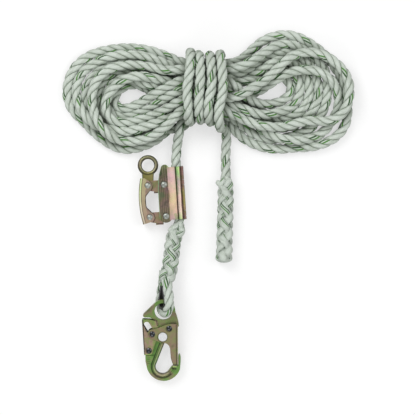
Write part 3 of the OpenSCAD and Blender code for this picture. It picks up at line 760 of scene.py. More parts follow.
@dataclass
class Braid:
    """Splice: three strands one way round and three the other, over one and under one.

    A strand's middle is at angle 2 pi z / turn + its start, and its distance from the axis
    swings by half its thickness at each crossing.

    Fields:
        turn: length in which a strand goes once round.
        across, thick: half of a strand's breadth and half of its thickness.
        outer: radius of the whole splice.
        step: length between two rings of a strand.
        sides: corners of a strand's ring.
        least_share: least share of a strand's full thickness.
        steadiness: how much a strand's broad face keeps to the way it faced before.
        crown_draw: share of the way to the axis that a strand of the crown is drawn in.
        crown_rise: heights of the crown beyond the end, at its sides and middle.
        cut_radius, cut_tip: radius of a cut end and length of its rounded tip.
        cut_step: length between two rings of a cut end.
    """

    turn: float = 0.078
    across: float = 0.0056
    thick: float = 0.00294
    outer: float = 0.014
    step: float = 0.0016
    sides: int = 14
    least_share: float = 0.35
    steadiness: float = 0.75
    crown_draw: float = 0.38
    crown_rise: tuple[float, float] = (0.004, 0.0062)
    cut_radius: float = 0.0043
    cut_tip: float = 0.0030
    cut_step: float = 0.0007

    def weave(
        self, name: str, path: Points, girth: Sequence[tuple[float, float]], crown: bool = False
    ) -> list[bpy.types.Object]:
        """Lays the six strands round a path.

        Args:
            name: first part of the pieces' names.
            path: n x 3 points of the axis.
            girth: places from 0 to 1 along the path and the shares of full girth there.
            crown: True if each strand turns back at the far end and is the next one too.

        Returns:
            Six pieces, or three with a crown.
        """
        p = evenly(path, self.step)
        s = lengths(p)
        share = np.interp(s / s[-1], *zip(*girth))
        head = headings(p)
        side = unit(np.cross(head, (1.0, 0.0, 0.0)))
        up = np.cross(side, head)
        round_axis = 2 * math.pi * s / self.turn
        lines = []
        for k in range(6):
            way = 1 if k < 3 else -1
            a = (way * round_axis + 2 * math.pi * (k % 3) / 3)[:, None]
            swing = way * self.thick * np.cos(3 * round_axis)
            r = (self.outer - 2 * self.thick + swing) * share
            lines.append(p + r[:, None] * (np.cos(a) * side + np.sin(a) * up))
        if not crown:
            return [self.strand(f"{name}_{k + 1}", q, p, share) for k, q in enumerate(lines)]
        pieces = []
        ends = np.array([q[-1] for q in lines])
        low, high = (rise * head[-1] for rise in self.crown_rise)
        for k in range(3):
            gap = np.linalg.norm(ends[3:] - ends[k], axis=1)
            mate = 3 + int(np.argsort(gap)[1])
            one, two = lines[k], lines[mate]
            middle = (1 - self.crown_draw) * (one[-1] + two[-1]) / 2 + self.crown_draw * p[-1]
            turn = spline(np.array([one[-4], one[-2], one[-1] + low, middle + high,
                                    two[-1] + low, two[-2], two[-4]]), 6)[6:-6]
            line = np.vstack([one[:-2], turn, two[:-2][::-1]])
            line = soften(evenly(line, self.step), 2)
            core = np.vstack([p[:-2], np.repeat(p[-3:-2], len(turn), 0), p[:-2][::-1]])
            sizes = np.concatenate([share[:-2], np.ones(len(turn)), share[:-2][::-1]])
            new, old = np.linspace(0, 1, len(line)), np.linspace(0, 1, len(core))
            core, sizes = resample(core, old, new), np.interp(new, old, sizes)
            pieces.append(self.strand(f"{name}_{k + 1}", line, core, sizes))
        return pieces

    def strand(self, name: str, line: Points, core: Points, share: Points) -> bpy.types.Object:
        """Sweeps one flattened strand.

        Args:
            name: name of the piece.
            line: n x 3 points of the strand's middle.
            core: n x 3 points that its broad face turns away from.
            share: n shares of its full thickness.

        Returns:
            The piece.
        """
        out = line - core
        head = headings(line)
        out -= (out * head).sum(1)[:, None] * head
        out /= np.linalg.norm(out, axis=1)[:, None] + 1e-12
        for i in range(1, len(out)):
            out[i] += self.steadiness * out[i - 1]
            out[i] = unit(out[i] - np.dot(out[i], head[i]) * head[i])
        bulk = np.clip(share, self.least_share, 1.0)[:, None]
        reach = (bulk * self.thick, bulk * self.across)
        return sweep(name, line, (out, np.cross(head, out)), self.corners(), reach)

    def corners(self) -> Points:
        """Places of a ring's corners as shares of a turn, with the first one again."""
        return np.arange(self.sides + 1) / self.sides

    def cut_end(self, name: str, route: Points) -> bpy.types.Object:
        """Short cut end of a strand that sticks out of a splice, with a rounded tip.

        Args:
            name: name of the piece.
            route: its points from inside the splice to the tip, in metres.

        Returns:
            The piece.
        """
        p = evenly(spline(route, 8), self.cut_step)
        s = lengths(p)
        left = np.clip((s[-1] - s) / self.cut_tip, 0, 1)
        radius = self.cut_radius * np.sqrt(np.clip(1 - (1 - left) ** 2, 0.02, 1))[:, None]
        return sweep(name, p, carried_frame(p), self.corners(), (radius, radius))


# the rope's axis in the grab: its middle in metres, height in mm and lean in degrees
GRAB_AXIS = (0.0247, -0.00485)
GRAB_HEIGHT = 11.1
GRAB_LEAN = 3.8


def at_grab(along: float) -> tuple[float, float, float]:
    """Point of the rope's axis in the grab, in millimetres, a distance up from its middle."""
    lean = math.radians(GRAB_LEAN)
    x, y = (c / MM for c in GRAB_AXIS)
    return (x - math.sin(lean) * along, y + math.cos(lean) * along, GRAB_HEIGHT)


class Layer(Enum):
    """Layers of strands under the wraps: lowest place across and height, in mm."""

    BACK = (130.5, 24.0)
    MIDDLE = (123.0, 37.5)
    FRONT = (130.5, 51.0)

    def berth(self, number: int, spacing: float = 15.0) -> Points:
        """Place across the bundle and height of one strand, counted from the lowest."""
        low, height = self.value
        return np.array((low + spacing * number, height))


@dataclass
class Hank:
    """The lifeline's spare length: eight turns in two lobes, four wraps and the tail.

    Each half turn runs from the upper edge of the bundle round a lobe to its lower edge, in
    millimetres. The whole chain of points is then settled: it sinks, keeps its shape, and
    strands that are nearer than a rope's width push each other apart.

    Fields:
        left, right: half turns of the two lobes, which the course takes by number.
        lead, tail: the rope from the grab to the first turn, and from the wraps to the end.
        wrap_x: places of each wrap's top, middle and foot along the bundle.
        wrap_low, wrap_high: lowest and highest place of each wrap across the bundle.
        wrap_start: points that lead into the first wrap.
        wrap_turn: radius of the wraps' turns over and under the bundle.
        wrap_behind: how far left of its top a wrap comes up behind, for the first and the rest.
        leave_x: place along the bundle that the last wrap heads for on its way to the tail.
        bundle_x: places along the bundle of a strand's points.
        thick: least distance between the centre lines of two strands.
        step: length between two points of the chain.
        floor: height of a centre line that lies on the floor.
        rounds: steps of the settling.
        sink, bend, hold, push: how much a step sinks a strand, straightens it, draws it back
            to its place from above, and parts two that are too near.
        apart: length along the rope below which two points don't push each other.
        held: length at the grab that doesn't move; the wraps and the tail don't either.
    """

    left: tuple = (
        ((14, 212, 26), (-8, 219, 18), (-34, 225, 12), (-71, 227, 8), (-100, 221, 8),
         (-122, 214, 8), (-139, 198, 8), (-150, 176, 8), (-153, 152, 8), (-146, 131, 8),
         (-127, 113, 8), (-106, 92, 8), (-86, 74, 8), (-63, 64.5, 8), (-37.5, 67.4, 8),
         (-10.5, 83.4, 8), (12, 98, 12)),
        ((8, 200, 30), (-10, 209, 28), (-38, 218, 26), (-66, 215, 24), (-101, 205, 22),
         (-126, 193, 20), (-139, 170, 20), (-138, 148, 22), (-128, 126, 24), (-110, 106, 26),
         (-90, 98, 28), (-60, 94, 30), (-31, 101, 32), (-3, 106, 34), (14, 114, 36)),
        ((10, 189, 50), (-17, 196, 48), (-44, 200, 46), (-72, 198, 44), (-92, 191, 44),
         (-106, 174, 44), (-113, 146, 44), (-108, 119, 44), (-93, 95, 42), (-72, 80, 38),
         (-44, 77, 34), (-10, 88, 38), (12, 108, 46)),
        ((4, 172, 40), (-24, 179, 42), (-44, 181, 42), (-65, 174, 42), (-84, 157, 42),
         (-92, 136, 40), (-89, 118, 38), (-76, 104, 38), (-52, 106, 40), (-31, 113, 42),
         (4, 127, 48)),
        ((6, 160, 24), (-24, 167, 20), (-48, 177, 22), (-72, 176, 24), (-88, 158, 26),
         (-92, 137, 28), (-80, 120, 30), (-58, 116, 36), (-26, 127, 44), (-8, 140, 48)),
        ((4, 150, 20), (-16, 158, 14), (-36, 172, 10), (-60, 172, 10), (-80, 156, 12),
         (-82, 136, 16), (-66, 124, 26), (-44, 134, 34), (-24, 146, 40), (6, 163, 48)),
        ((8, 190, 16), (-24, 196, 12), (-56, 206, 10), (-86, 202, 10), (-110, 184, 10),
         (-124, 162, 10), (-124, 140, 10), (-112, 116, 10), (-92, 98, 12), (-66, 86, 14),
         (-38, 84, 16), (-8, 94, 20), (14, 118, 22)),
        ((8, 180, 14), (-24, 186, 10), (-50, 194, 10), (-76, 190, 10), (-96, 172, 10),
         (-106, 150, 10), (-104, 130, 10), (-92, 112, 12), (-70, 100, 14), (-40, 96, 16),
         (-10, 104, 20), (12, 128, 22)),
    )
    right: tuple = (
        ((120, 203, 28), (136, 216, 20), (158, 238, 12), (183, 248, 8), (205, 249, 8),
         (224, 240, 8), (246, 226, 8), (268, 208, 8), (286, 184, 8), (296, 154, 8),
         (297, 128, 8), (296, 107, 8), (286, 91, 8), (268, 77, 8), (244, 72, 8),
         (214, 69, 8), (190, 65, 8), (161, 68, 8), (138, 77.5, 8), (119, 90.5, 17),
         (108, 102, 25)),
        ((124, 194, 40), (146, 205, 32), (171, 224, 26), (189, 234, 24), (208, 234, 22),
         (232, 222, 22), (254, 206, 20), (264.6, 183, 20), (265.6, 156, 20), (260, 133, 20),
         (242.4, 101.4, 18), (212, 86, 18), (188, 81.4, 19), (164, 82.5, 20), (143, 91.5, 24),
         (126, 106, 30)),
        ((124, 148, 50), (137, 158, 50), (171, 179, 48), (195, 206, 46), (214, 217, 44),
         (235, 221, 42), (260, 215, 38), (281, 200, 34), (297, 178, 28), (300, 155, 26),
         (296, 134, 26), (284, 116, 30), (262, 108, 34), (238, 112, 36), (214, 106, 38),
         (176, 98, 38), (134, 110, 42)),
        ((120, 152, 48), (134, 148, 42), (152, 156, 38), (172, 171, 38), (199, 187, 40),
         (230, 193, 40), (255, 188, 38), (273, 172, 34), (285, 146, 26), (279, 122, 20),
         (258, 91, 20), (236, 80, 26), (206, 79, 28), (168, 90, 26), (134, 126, 30)),
        ((122, 172, 34), (148, 178, 26), (174, 186, 22), (195, 184, 22), (208.6, 171, 24),
         (208.6, 154.4, 27), (196.6, 144.2, 30), (174, 136.2, 34), (153, 136, 38), (130, 150, 44)),
        ((122, 192, 22), (146, 192, 16), (174, 198, 12), (202, 196, 10), (217.6, 183, 9),
         (223, 165, 9), (220, 146.4, 9), (210, 134, 10), (198, 126, 12), (170, 119, 18),
         (148, 120, 26), (126, 130, 34)),
        ((122, 186, 34), (144, 196, 28), (170, 214, 20), (196, 221, 16), (220, 212, 10),
         (239.5, 194, 8), (250.4, 172, 8), (251.8, 150.4, 8), (246.6, 135, 8), (231, 113.4, 8),
         (206, 101.2, 8), (174, 104, 12), (140, 128, 18)),
        ((120, 178, 22), (146, 182, 18), (176, 202, 16), (204, 208, 18), (224, 196, 20),
         (235, 176, 21), (237, 156, 21), (234, 141, 20), (222, 124, 18), (201, 114, 16),
         (172, 112, 14), (150, 122, 14), (126, 148, 18)),
    )
    lead: tuple = ((22.4, 57, 10.2), (23.4, 70, 8.4), (25.5, 84, 8), (27.6, 97, 8.4),
                   (30, 111, 12), (40, 122, 20))
    tail: tuple = ((95.2, 98.8, 27), (98.4, 98.9, 19.6), (101.6, 94.4, 12),
                   (103.4, 87, 8.6), (103.2, 80, 8), (102.4, 74, 8),
                   (101.6, 60, 8), (101.4, 48, 8.2), (101.8, 36, 9.5),
                   (102, 24, 12), (102, 14, 14), (101.6, 0, 14.3), (100.9, -25, 14.3),
                   (100, -55, 14.3), (99.2, -85, 14.3), (98.8, -103, 14.3))
    wrap_x: tuple = ((45.5, 40.5, 41.5), (61.5, 60.5, 58.5), (79, 79, 73.5), (95.5, 97, 90))
    wrap_low: tuple = (107, 110, 107, 97)
    wrap_high: tuple = (219, 215, 214, 216)
    wrap_start: tuple = ((26, 99, 8), (36, 102.5, 8), (42, 112.5, 8))
    wrap_turn: float = 29.0
    wrap_behind: tuple = (2, 8.25)
    leave_x: float = 103.0
    bundle_x: tuple = (38, 50, 62, 74, 86, 98)
    thick: float = 14.6
    step: float = 7.0
    floor: float = 8.0
    rounds: int = 320
    sink: float = 0.12
    bend: float = 0.25
    hold: float = 0.10
    push: float = 0.3
    apart: float = 42.0
    held: float = 60.0

    def across(self, left: Points, right: Points, rightward: bool) -> list:
        """One strand under the wraps.

        Where it changes berth, it turns half round its partner about the middle of the two.

        Args:
            left: its berth at the left edge of the bundle.
            right: its berth at the right edge.
            rightward: True if the rope runs from left to right.

        Returns:
            Points, in millimetres, in the order that the rope runs.
        """
        t = np.linspace(0, 1, len(self.bundle_x))
        angle = math.pi * t * t * (3 - 2 * t)
        middle, arm = (left + right) / 2, (left - right) / 2
        y = middle[0] + arm[0] * np.cos(angle) - arm[1] * np.sin(angle)
        z = middle[1] + arm[0] * np.sin(angle) + arm[1] * np.cos(angle)
        points = list(zip(self.bundle_x, y, z))
        return points if rightward else points[::-1]

    def turns(self) -> list:
        """The eight turns in the order that the rope takes them, in millimetres.

        Each row is a pass under the wraps, with its berths at the left and right edge, and
        then the number of a half turn and the way that the rope takes it. The passes run to
        the right and to the left by turns.
        """
        b, m, f = Layer.BACK, Layer.MIDDLE, Layer.FRONT
        course = (
            (b, 0, m, 0, 2, -1), (f, 4, f, 4, 3, 1), (f, 0, f, 0, 3, -1), (f, 1, f, 1, 4, -1),
            (m, 3, m, 3, 5, 1), (f, 2, f, 3, 5, -1), (m, 2, m, 2, 4, -1), (f, 3, f, 2, 6, -1),
            (m, 1, m, 1, 6, -1), (b, 4, b, 4, 7, 1), (b, 1, b, 2, 8, -1), (b, 3, b, 3, 8, 1),
            (b, 2, b, 1, 7, -1), (m, 4, m, 4, 2, 1), (m, 0, b, 0, 1, -1), (m, 5, m, 5, 1, 1),
        )
        chain = []
        for i, (left, left_no, right, right_no, half, way) in enumerate(course):
            rightward = i % 2 == 0
            chain += self.across(left.berth(left_no), right.berth(right_no), rightward)
            chain += (self.right if rightward else self.left)[half - 1][::way]
        return chain

    def wraps(self) -> list:
        """The four wraps: up behind the bundle, over it and down its front, in mm.

        The last one leaves its foot for the tail, so it has no way back behind.
        """
        r, floor = self.wrap_turn, self.floor
        first, rest = self.wrap_behind
        points = list(self.wrap_start)
        last = len(self.wrap_x) - 1
        arc = np.radians((-60, -30, 0, 30, 60))
        share = (arc + math.pi / 2) / math.pi
        for i, (top, middle, foot) in enumerate(self.wrap_x):
            low, high = self.wrap_low[i] + r, self.wrap_high[i] - r
            behind = top - (rest if i else first)
            points += [(behind + k, low + (high - low) * k / 2, floor) for k in (0, 1, 2)]
            points += zip(behind + 2 + (top - behind - 2) * share,
                          high + r * np.cos(arc), floor + r + r * np.sin(arc))
            points += [(x, y, floor + 2 * r)
                       for x, y in ((top, high), (middle, (low + high) / 2), (foot, low))]
            after = self.leave_x if i == last else self.wrap_x[i + 1][0] - rest
            under = list(zip(foot + (after - foot) * share**2, low - r * np.cos(arc),
                             floor + r - r * np.sin(arc)))
            points += under[:3] if i == last else under
        return points

    def route(self) -> Points:
        """Centre line from inside the grab to the end of the tail, settled, in metres."""
        start = [at_grab(y) for y in (13, 24, 34, 44)] + list(self.lead)
        turned = start + self.turns()
        per = 24
        dense = spline(np.array(turned + self.wraps() + list(self.tail)), per)
        p = evenly(dense, self.step)
        wrapped = lengths(dense)[len(turned) * per]
        free = np.ones(len(p))
        free[: int(self.held / self.step)] = 0
        free[int(wrapped / self.step) - 2 :] = 0
        return soften(self.settle(p, free), 2) * MM

    def settle(self, aim: Points, free: Points) -> Points:
        """Lets the rope sink and lie on itself.

        Args:
            aim: n x 3 points where the rope should lie, in millimetres.
            free: n numbers, 1 where a point may move and 0 where it is held.

        Returns:
            The settled points.
        """
        p, far, n = aim.copy(), int(self.apart / self.step), len(aim)
        reach, every = self.thick + 9, 8  # pairs to watch, found anew every few steps
        for turn in range(self.rounds):
            if turn % every == 0:
                dot = p @ p.T
                q = np.diag(dot)
                near = q[:, None] + q[None, :] - 2 * dot < reach**2
                one, two = np.nonzero(np.triu(near, far))
            p[:, 2] -= self.sink * free
            p[1:-1] += self.bend * (0.5 * (p[:-2] + p[2:]) - p[1:-1]) * free[1:-1, None]
            p[:, :2] += self.hold * (aim - p)[:, :2] * free[:, None]
            for _ in range(2):
                between = p[one] - p[two]
                d = np.linalg.norm(between, axis=1) + 1e-9
                hit = d < self.thick
                i, j = one[hit], two[hit]
                push = between[hit] / d[hit, None] * ((self.thick - d[hit]) * self.push)[:, None]
                moved, count = np.zeros_like(p), np.zeros(n)
                for k, other, sign in ((i, j, 1), (j, i, -1)):
                    share = sign * np.where(free[other] == 0, 2, 1) * free[k]
                    np.add.at(moved, k, push * share[:, None])
                    np.add.at(count, k, 1)
                p += moved / np.maximum(1, np.sqrt(count))[:, None]
            p[:, 2] = np.maximum(p[:, 2], self.floor)
        return p


@dataclass
class Lifeline:
    """The rope outside the grab: hank, lead, eye splice, eye and back splice.

    Fields:
        rope, hank: the laid rope and the route of its spare length.
        loop_at: centre of the eye round the thimble, in millimetres.
        loop_lean, loop_taper: lean of the eye's plane and of its legs, in degrees.
        loop_r, throat: radius of the eye, and its throat's distance from the centre, in mm.
        splice, back: axes of the eye splice and of the back splice, in mm.
        eye_girth, back_girth: places from 0 to 1 along them and shares of full girth.
        eye_ends, back_ends: routes of their cut ends, in mm.
    """

    rope: LaidRope = field(default_factory=LaidRope)
    hank: Hank = field(default_factory=Hank)
    loop_at: tuple = (4.6, -177.4, 25.1746)
    loop_lean: float = 24.0
    loop_taper: float = 20.0
    loop_r: float = 18.8
    throat: float = 30.6
    splice: tuple = ((25.5, -62, 14), (18.5, -78, 14.2), (15.5, -100, 14.4),
                     (12.3, -124, 16.5), (8.6, -138, 21.5))
    eye_girth: tuple = ((0, 0.62), (0.1, 0.94), (0.2, 1), (0.8, 1), (0.92, 1.06), (1, 1.02))
    eye_ends: tuple = (
        ((19.5, -71, 17), (15.5, -66, 20), (12.6, -62.5, 21.5), (11, -60.5, 21.5)),
        ((26, -72, 16), (29.5, -67, 19), (32.5, -63, 20), (34.6, -60.5, 20)),
    )
    back: tuple = ((102, 22, 14.2), (101.6, 6, 14.3), (101.1, -20, 14.3), (100.2, -50, 14.3),
                   (99.4, -80, 14.3), (98.8, -102, 14.3), (98.7, -107, 14.3))
    back_girth: tuple = ((0, 0.6), (0.1, 0.94), (0.2, 1), (0.92, 1), (1, 1.04))
    back_ends: tuple = (
        ((98, 2, 18), (93, 8, 19), (89.5, 11.5, 19), (87, 12.5, 17)),
        ((101, 6, 21), (105, 12, 22), (108, 15.5, 21), (110, 17.5, 20)),
    )

    def in_loop(self, x: float, y: float) -> tuple[float, float, float]:
        """Point of the eye's leaning plane, in mm: x across it, y towards the splice."""
        lean = math.radians(self.loop_lean)
        a, b, c = self.loop_at
        return (a - x * math.sin(lean), b + y, c - x * math.cos(lean))

    def eye_path(self) -> list:
        """Centre line of the eye, from its throat round the thimble and back, in mm."""
        taper = math.radians(self.loop_taper)
        r = self.loop_r
        run = (self.throat - r * math.sin(taper)) / math.cos(taper)
        legs = [
            [(side * (r * math.cos(taper) - s * run * math.sin(taper)),
              r * math.sin(taper) + s * run * math.cos(taper)) for s in (0.9, 0.6, 0.3)]
            for side in (-1, 1)
        ]
        angles = np.linspace(math.pi - taper, 2 * math.pi + taper, 13)
        arc = [(r * math.cos(a), r * math.sin(a)) for a in angles]
        return [self.in_loop(x, y) for x, y in legs[0] + arc + legs[1][::-1]]

    def splice_with(
        self, name: str, axis: Sequence, girth: tuple, ends: tuple, crown: bool = False
    ) -> list[bpy.types.Object]:
        """Weaves a splice and its cut ends.

        Args:
            name: first part of the pieces' names.
            axis: points of the splice's axis, in millimetres.
            girth: places from 0 to 1 along it and the shares of full girth there.
            ends: routes of the cut ends, in millimetres.
            crown: True if the strands turn back at the far end.

        Returns:
            The strands and then the cut ends.
        """
        braid = Braid()
        line = spline(np.array(axis), 12) * MM
        woven = braid.weave(f"{name}_splice_strand", line, girth, crown)
        return woven + [braid.cut_end(f"{name}_splice_end_{i + 1}", np.array(route) * MM)
                        for i, route in enumerate(ends)]

    def own(self, ropes: list, woven: list, finish: RopeFibre) -> list[bpy.types.Object]:
        """Dresses ropes and woven pieces and lets them ride on the lifeline."""
        dress(ropes, finish.material())
        dress(woven, finish.material(loose=True))
        for piece in ropes + woven:
            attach(piece, "lifeline")
        return ropes + woven

    def build_eye(self, finish: RopeFibre) -> list[bpy.types.Object]:
        start = [at_grab(y) for y in (-13, -24, -34, -44)]
        body = list(self.splice) + [self.in_loop(-4, self.throat + 3)]
        inside = [self.in_loop(5, self.throat + 6), self.in_loop(3.5, self.throat + 18)]
        path = soften(evenly(spline(np.array(start + body + self.eye_path() + inside)), 2.6), 4)
        path = path * MM
        rope = self.rope.lay("eye_rope_laid", path)
        axis = [at_grab(-48)] + list(self.splice) + [self.in_loop(0, self.throat)]
        woven = self.splice_with("eye", axis, self.eye_girth, self.eye_ends)
        pieces = self.own([rope], woven, finish)
        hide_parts("eye_rope")
        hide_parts("eye_splice")
        return pieces

    def build_hank(self, finish: RopeFibre) -> list[bpy.types.Object]:
        path = evenly(spline(self.hank.route(), 4), self.rope.step)
        rope = self.rope.lay("hank_rope_laid", path)
        # mark for the hank's painted shade under and beside its higher turns
        shelter(rope, path)
        woven = self.splice_with("back", self.back, self.back_girth, self.back_ends, crown=True)
        middle = np.array([at_grab(y) for y in np.linspace(-13.5, 13.5, 12)]) * MM
        stub = self.rope.lay("channel_rope_laid", middle)
        pieces = self.own([rope, stub], woven, finish)
        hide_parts("lead_rope", "hank_left", "hank_right", "hank_waist", "hank_wraps",
                    "tail_rope")
        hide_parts("back_splice")
        return pieces


def shelter(
    rope: bpy.types.Object,
    path: Points,
    rise: tuple[float, float] = (-0.005, 0.017),
    reach: tuple[float, float] = (0.008, 0.018),
) -> None:
    """Marks how far each place of a rope lies under and beside higher turns, for the painted shade
    there.

    The mark is the largest, over the turns, of a share for how far a turn's centre line is
    above the place, times a share for how near it is as seen from above.

    Args:
        rope: the piece, which gets the attribute "sheltered".
        path: n x 3 points of its centre line.
        rise: heights above the place where the first share is 0 and 1.
        reach: distances from above where the second share is 1 and 0.
    """
    mesh = rope.data
    place = np.empty(3 * len(mesh.vertices), np.float32)
    mesh.vertices.foreach_get("co", place)
    place = place.reshape(-1, 3)
    turns = path[::3].astype(np.float32)
    mark = np.zeros(len(place), np.float32)
    for part in np.array_split(np.arange(len(place)), 60):
        x, y, z = (turns[None, :, k] - place[part][:, None, k] for k in range(3))
        above = np.clip((z - rise[0]) / (rise[1] - rise[0]), 0, 1)
        beside = np.clip((reach[1] - np.hypot(x, y)) / (reach[1] - reach[0]), 0, 1)
        mark[part] = (above * beside).max(axis=1)
    mesh.attributes.new("sheltered", "FLOAT", "POINT").data.foreach_set("value", mark)


def dress(pieces: Sequence[bpy.types.Object], material: bpy.types.Material) -> None:
    """Gives pieces one material in every slot."""
    for piece in pieces:
        if not piece.material_slots:
            piece.data.materials.append(material)
        for slot in piece.material_slots:
            slot.material = material


# ---- Steelwork ----


# painted shade along the edges of the arms
ARM_EDGE_SHADE = (
    Line(((-22, 16.5), (-16.8, 10.5), (-15.6, 4), (-17.6, -1.6)), 0.9),
    Line(((-19, -34.6), (-13, -38.8), (-11.2, -45), (-14.4, -52)), 0.9),
)


@dataclass
class Steelwork:
    """Finishes of the frame's own steel pieces and of the thimble.

    Fields:
        shell, gold, lever, grip: the grab's shells, its arms, the hook's lock lever and the
            grab's handle.
        olive, green, gate: the connector eye, the hook's frame and its gate.
        steel, head, badge, nylon: pins and cams, rivet heads, the bare badge, the thimble.
    """

    shell: BandedSteel = BandedSteel(
        "zinc_shell",
        ramp(
            (0.36, 118, 150, 92), (0.46, 170, 150, 112), (0.53, 196, 150, 146),
            (0.64, 112, 98, 86)),
        centre=GRAB_AXIS, lean=GRAB_LEAN, roughness=0.34, metallic=0.55,
        bands=(
            Band(-0.0400, -0.0142, ramp(
                (0, 58, 90, 54), (0.1, 80, 102, 62), (0.3, 94, 94, 78), (0.55, 102, 90, 84),
                (0.72, 94, 82, 82), (0.84, 60, 90, 52), (1, 84, 128, 66))),
            # painted highlight on the rope channel's bulge
            Band(-0.0142, -0.0024, ramp(
                (0, 150, 120, 118), (0.08, 212, 176, 182), (0.22, 238, 204, 178),
                (0.4, 250, 220, 178), (0.6, 248, 212, 194), (0.86, 240, 202, 206),
                (0.955, 214, 190, 170), (0.975, 150, 214, 122), (1, 150, 220, 122))),
            # painted shade in the crease between channel and ridge
            Band(-0.0024, 0.0001, ramp((0, 34, 34, 28), (1, 40, 40, 34))),
            # painted highlight on the ridge
            Band(0.0001, 0.0048, ramp(
                (0, 132, 176, 100), (0.07, 156, 196, 122), (0.16, 214, 200, 180),
                (0.4, 226, 198, 184), (0.58, 190, 164, 164), (0.72, 158, 146, 150),
                (0.84, 146, 184, 118), (1, 158, 214, 128))),
            # painted shade under the hinge barrel
            Band(0.0048, 0.0072, ramp((0, 44, 40, 36), (1, 56, 54, 48))),
            # the hinge side: plating tints, darkened with painted shade below the ridge
            Band(0.0072, 0.0300, ramp(
                (0, 70, 54, 50), (0.16, 96, 76, 66), (0.3, 132, 124, 66), (0.52, 128, 118, 64),
                (0.7, 100, 78, 72), (1, 86, 66, 60))),
        ),
        # ribs of painted shade on the cheek
        ribs=(-0.0290, -0.0150, 0.0029),
        marks=(
            # painted shade in three grooves at the top of the cheek
            *(Line(run, 1.2, share=0.5) for run in (
                ((-1.2, 33), (-1.4, 18)), ((2.9, 34), (3.2, 18)), ((6.6, 33), (7.0, 20)))),
            # brown painted shade where the cheek meets the rope channel
            Line(((10.6, -1), (11.6, -10), (10.8, -19)), 2.0, ink(92, 72, 50), 0.5),
            # painted green highlight low on the ridge
            Line(((21.4, -39), (23.6, -46)), 4.0, ink(136, 168, 98), 0.5),
            # painted highlight along the cheek's left edge
            Line(((-5.4, 26), (-6.1, 2), (-5.6, -16), (-3.3, -46)), 0.8, ink(150, 196, 148), 0.7),
            # painted shade round the body pins
            *rings(1.1, 4.8, (2.4, 9.2), (6.1, -41.4)),
        ))
    gold: BandedSteel = BandedSteel(
        "zinc_arms",
        ramp(
            (0.36, 134, 132, 92), (0.48, 154, 134, 108), (0.56, 160, 128, 120),
            (0.66, 112, 96, 90)), roughness=0.34, metallic=0.6,
        marks=(
            # painted shade along the arms' edges and ends
            *ARM_EDGE_SHADE,
            Line(((-14, -3.6), (-4, -4.6)), 1.6),
            Line(((-10.4, -54.2), (3, -53.8)), 1.6),
        ))
    lever: BandedSteel = BandedSteel(
        "zinc_lever",
        ramp(
            (0.34, 104, 140, 72), (0.46, 132, 144, 88), (0.54, 158, 134, 116),
            (0.64, 110, 106, 86)), patch=0.020, roughness=0.36, metallic=0.55,
        marks=(
            # painted shade along the lever's edges
            Line(((-30.8, -208), (-28.4, -262)), 2.0, share=0.85),
            Line(((-29.8, -205.4), (-19.3, -205.8), (-8.6, -209), (-7.4, -216.5)), 1.4),
            Line(((-29.4, -214), (-23.4, -226)), 2.2, share=0.9),
            # painted highlight on the bottom edge
            Line(((-27.4, -263.4), (-16.4, -263.6)), 2.0, ink(132, 182, 84), 0.6),
            # painted shade along an edge and round the pivot rivet
            Line(((-15.8, -262), (-10, -243)), 1.0, share=0.5),
            *rings(0.9, 4.8, (-21.4, -256.6)),
        ))
    grip: BandedSteel = BandedSteel(
        "zinc_grip",
        ramp((0.36, 172, 164, 118), (0.5, 172, 144, 126), (0.62, 150, 122, 112)),
        centre=GRAB_AXIS, lean=GRAB_LEAN, bow=(-0.009, 0.290), roughness=0.36,
        metallic=0.5, drift_share=0.2,
        bands=(
            # painted shade on the web's outer bend
            Band(-0.0700, -0.0616, ramp((0, 84, 84, 64), (1, 92, 100, 68))),
            # painted highlight along the web's rounded edge
            Band(-0.0616, -0.0590, ramp(
                (0, 210, 196, 176), (0.3, 232, 226, 196), (0.6, 208, 232, 168),
                (1, 196, 214, 156))),
            # painted shade beside that highlight
            Band(-0.0590, -0.0580, ramp((0, 92, 84, 68), (1, 84, 84, 62))),
            Band(-0.0580, -0.0520, ramp(
                (0, 168, 142, 126), (0.4, 178, 164, 130), (0.8, 184, 178, 134),
                (1, 160, 150, 118))),
            Band(-0.0520, -0.0200, ramp(
                (0, 160, 134, 126), (0.25, 150, 134, 116), (0.5, 128, 120, 98),
                (0.75, 152, 134, 118), (1, 156, 146, 122)), soft=0.004),
        ),
        marks=(
            # painted shade along the handle's inner edge, the arms' edges and round the rivets
            Line(((-18.6, -1.2), (-21.6, -4.6), (-25.6, -9.2), (-26.3, -19),
                  (-25.0, -27.4), (-21.0, -31.8), (-16, -35.4)), 1.7, share=0.85),
            *ARM_EDGE_SHADE,
            *rings(1.1, 4.4, (-23.3, 7.6), (-19.8, -43)),
        ))
    olive: PlatedSteel = PlatedSteel(
        "zinc_olive",
        ramp(
            (0.32, 80, 84, 58), (0.46, 112, 112, 80), (0.56, 128, 118, 94),
            (0.68, 84, 84, 60)), roughness=0.38, grain=0.00010, metallic=0.6,
        marks=(
            Line(((-23, 29), (-22.6, 16)), 15.0, ink(140, 134, 72), 0.7),
            # painted shade at the eye's outer and inner edges, with a painted highlight on a ring
            # between
            *(Hoop(((-23, 40.4),), width, colour, share, radius)
              for width, colour, share, radius in (
                  (2.2, DARK, 0.7, 15.4), (1.6, ink(150, 148, 118), 0.6, 12.4),
                  (1.8, DARK, 0.7, 10.3))),
        ))
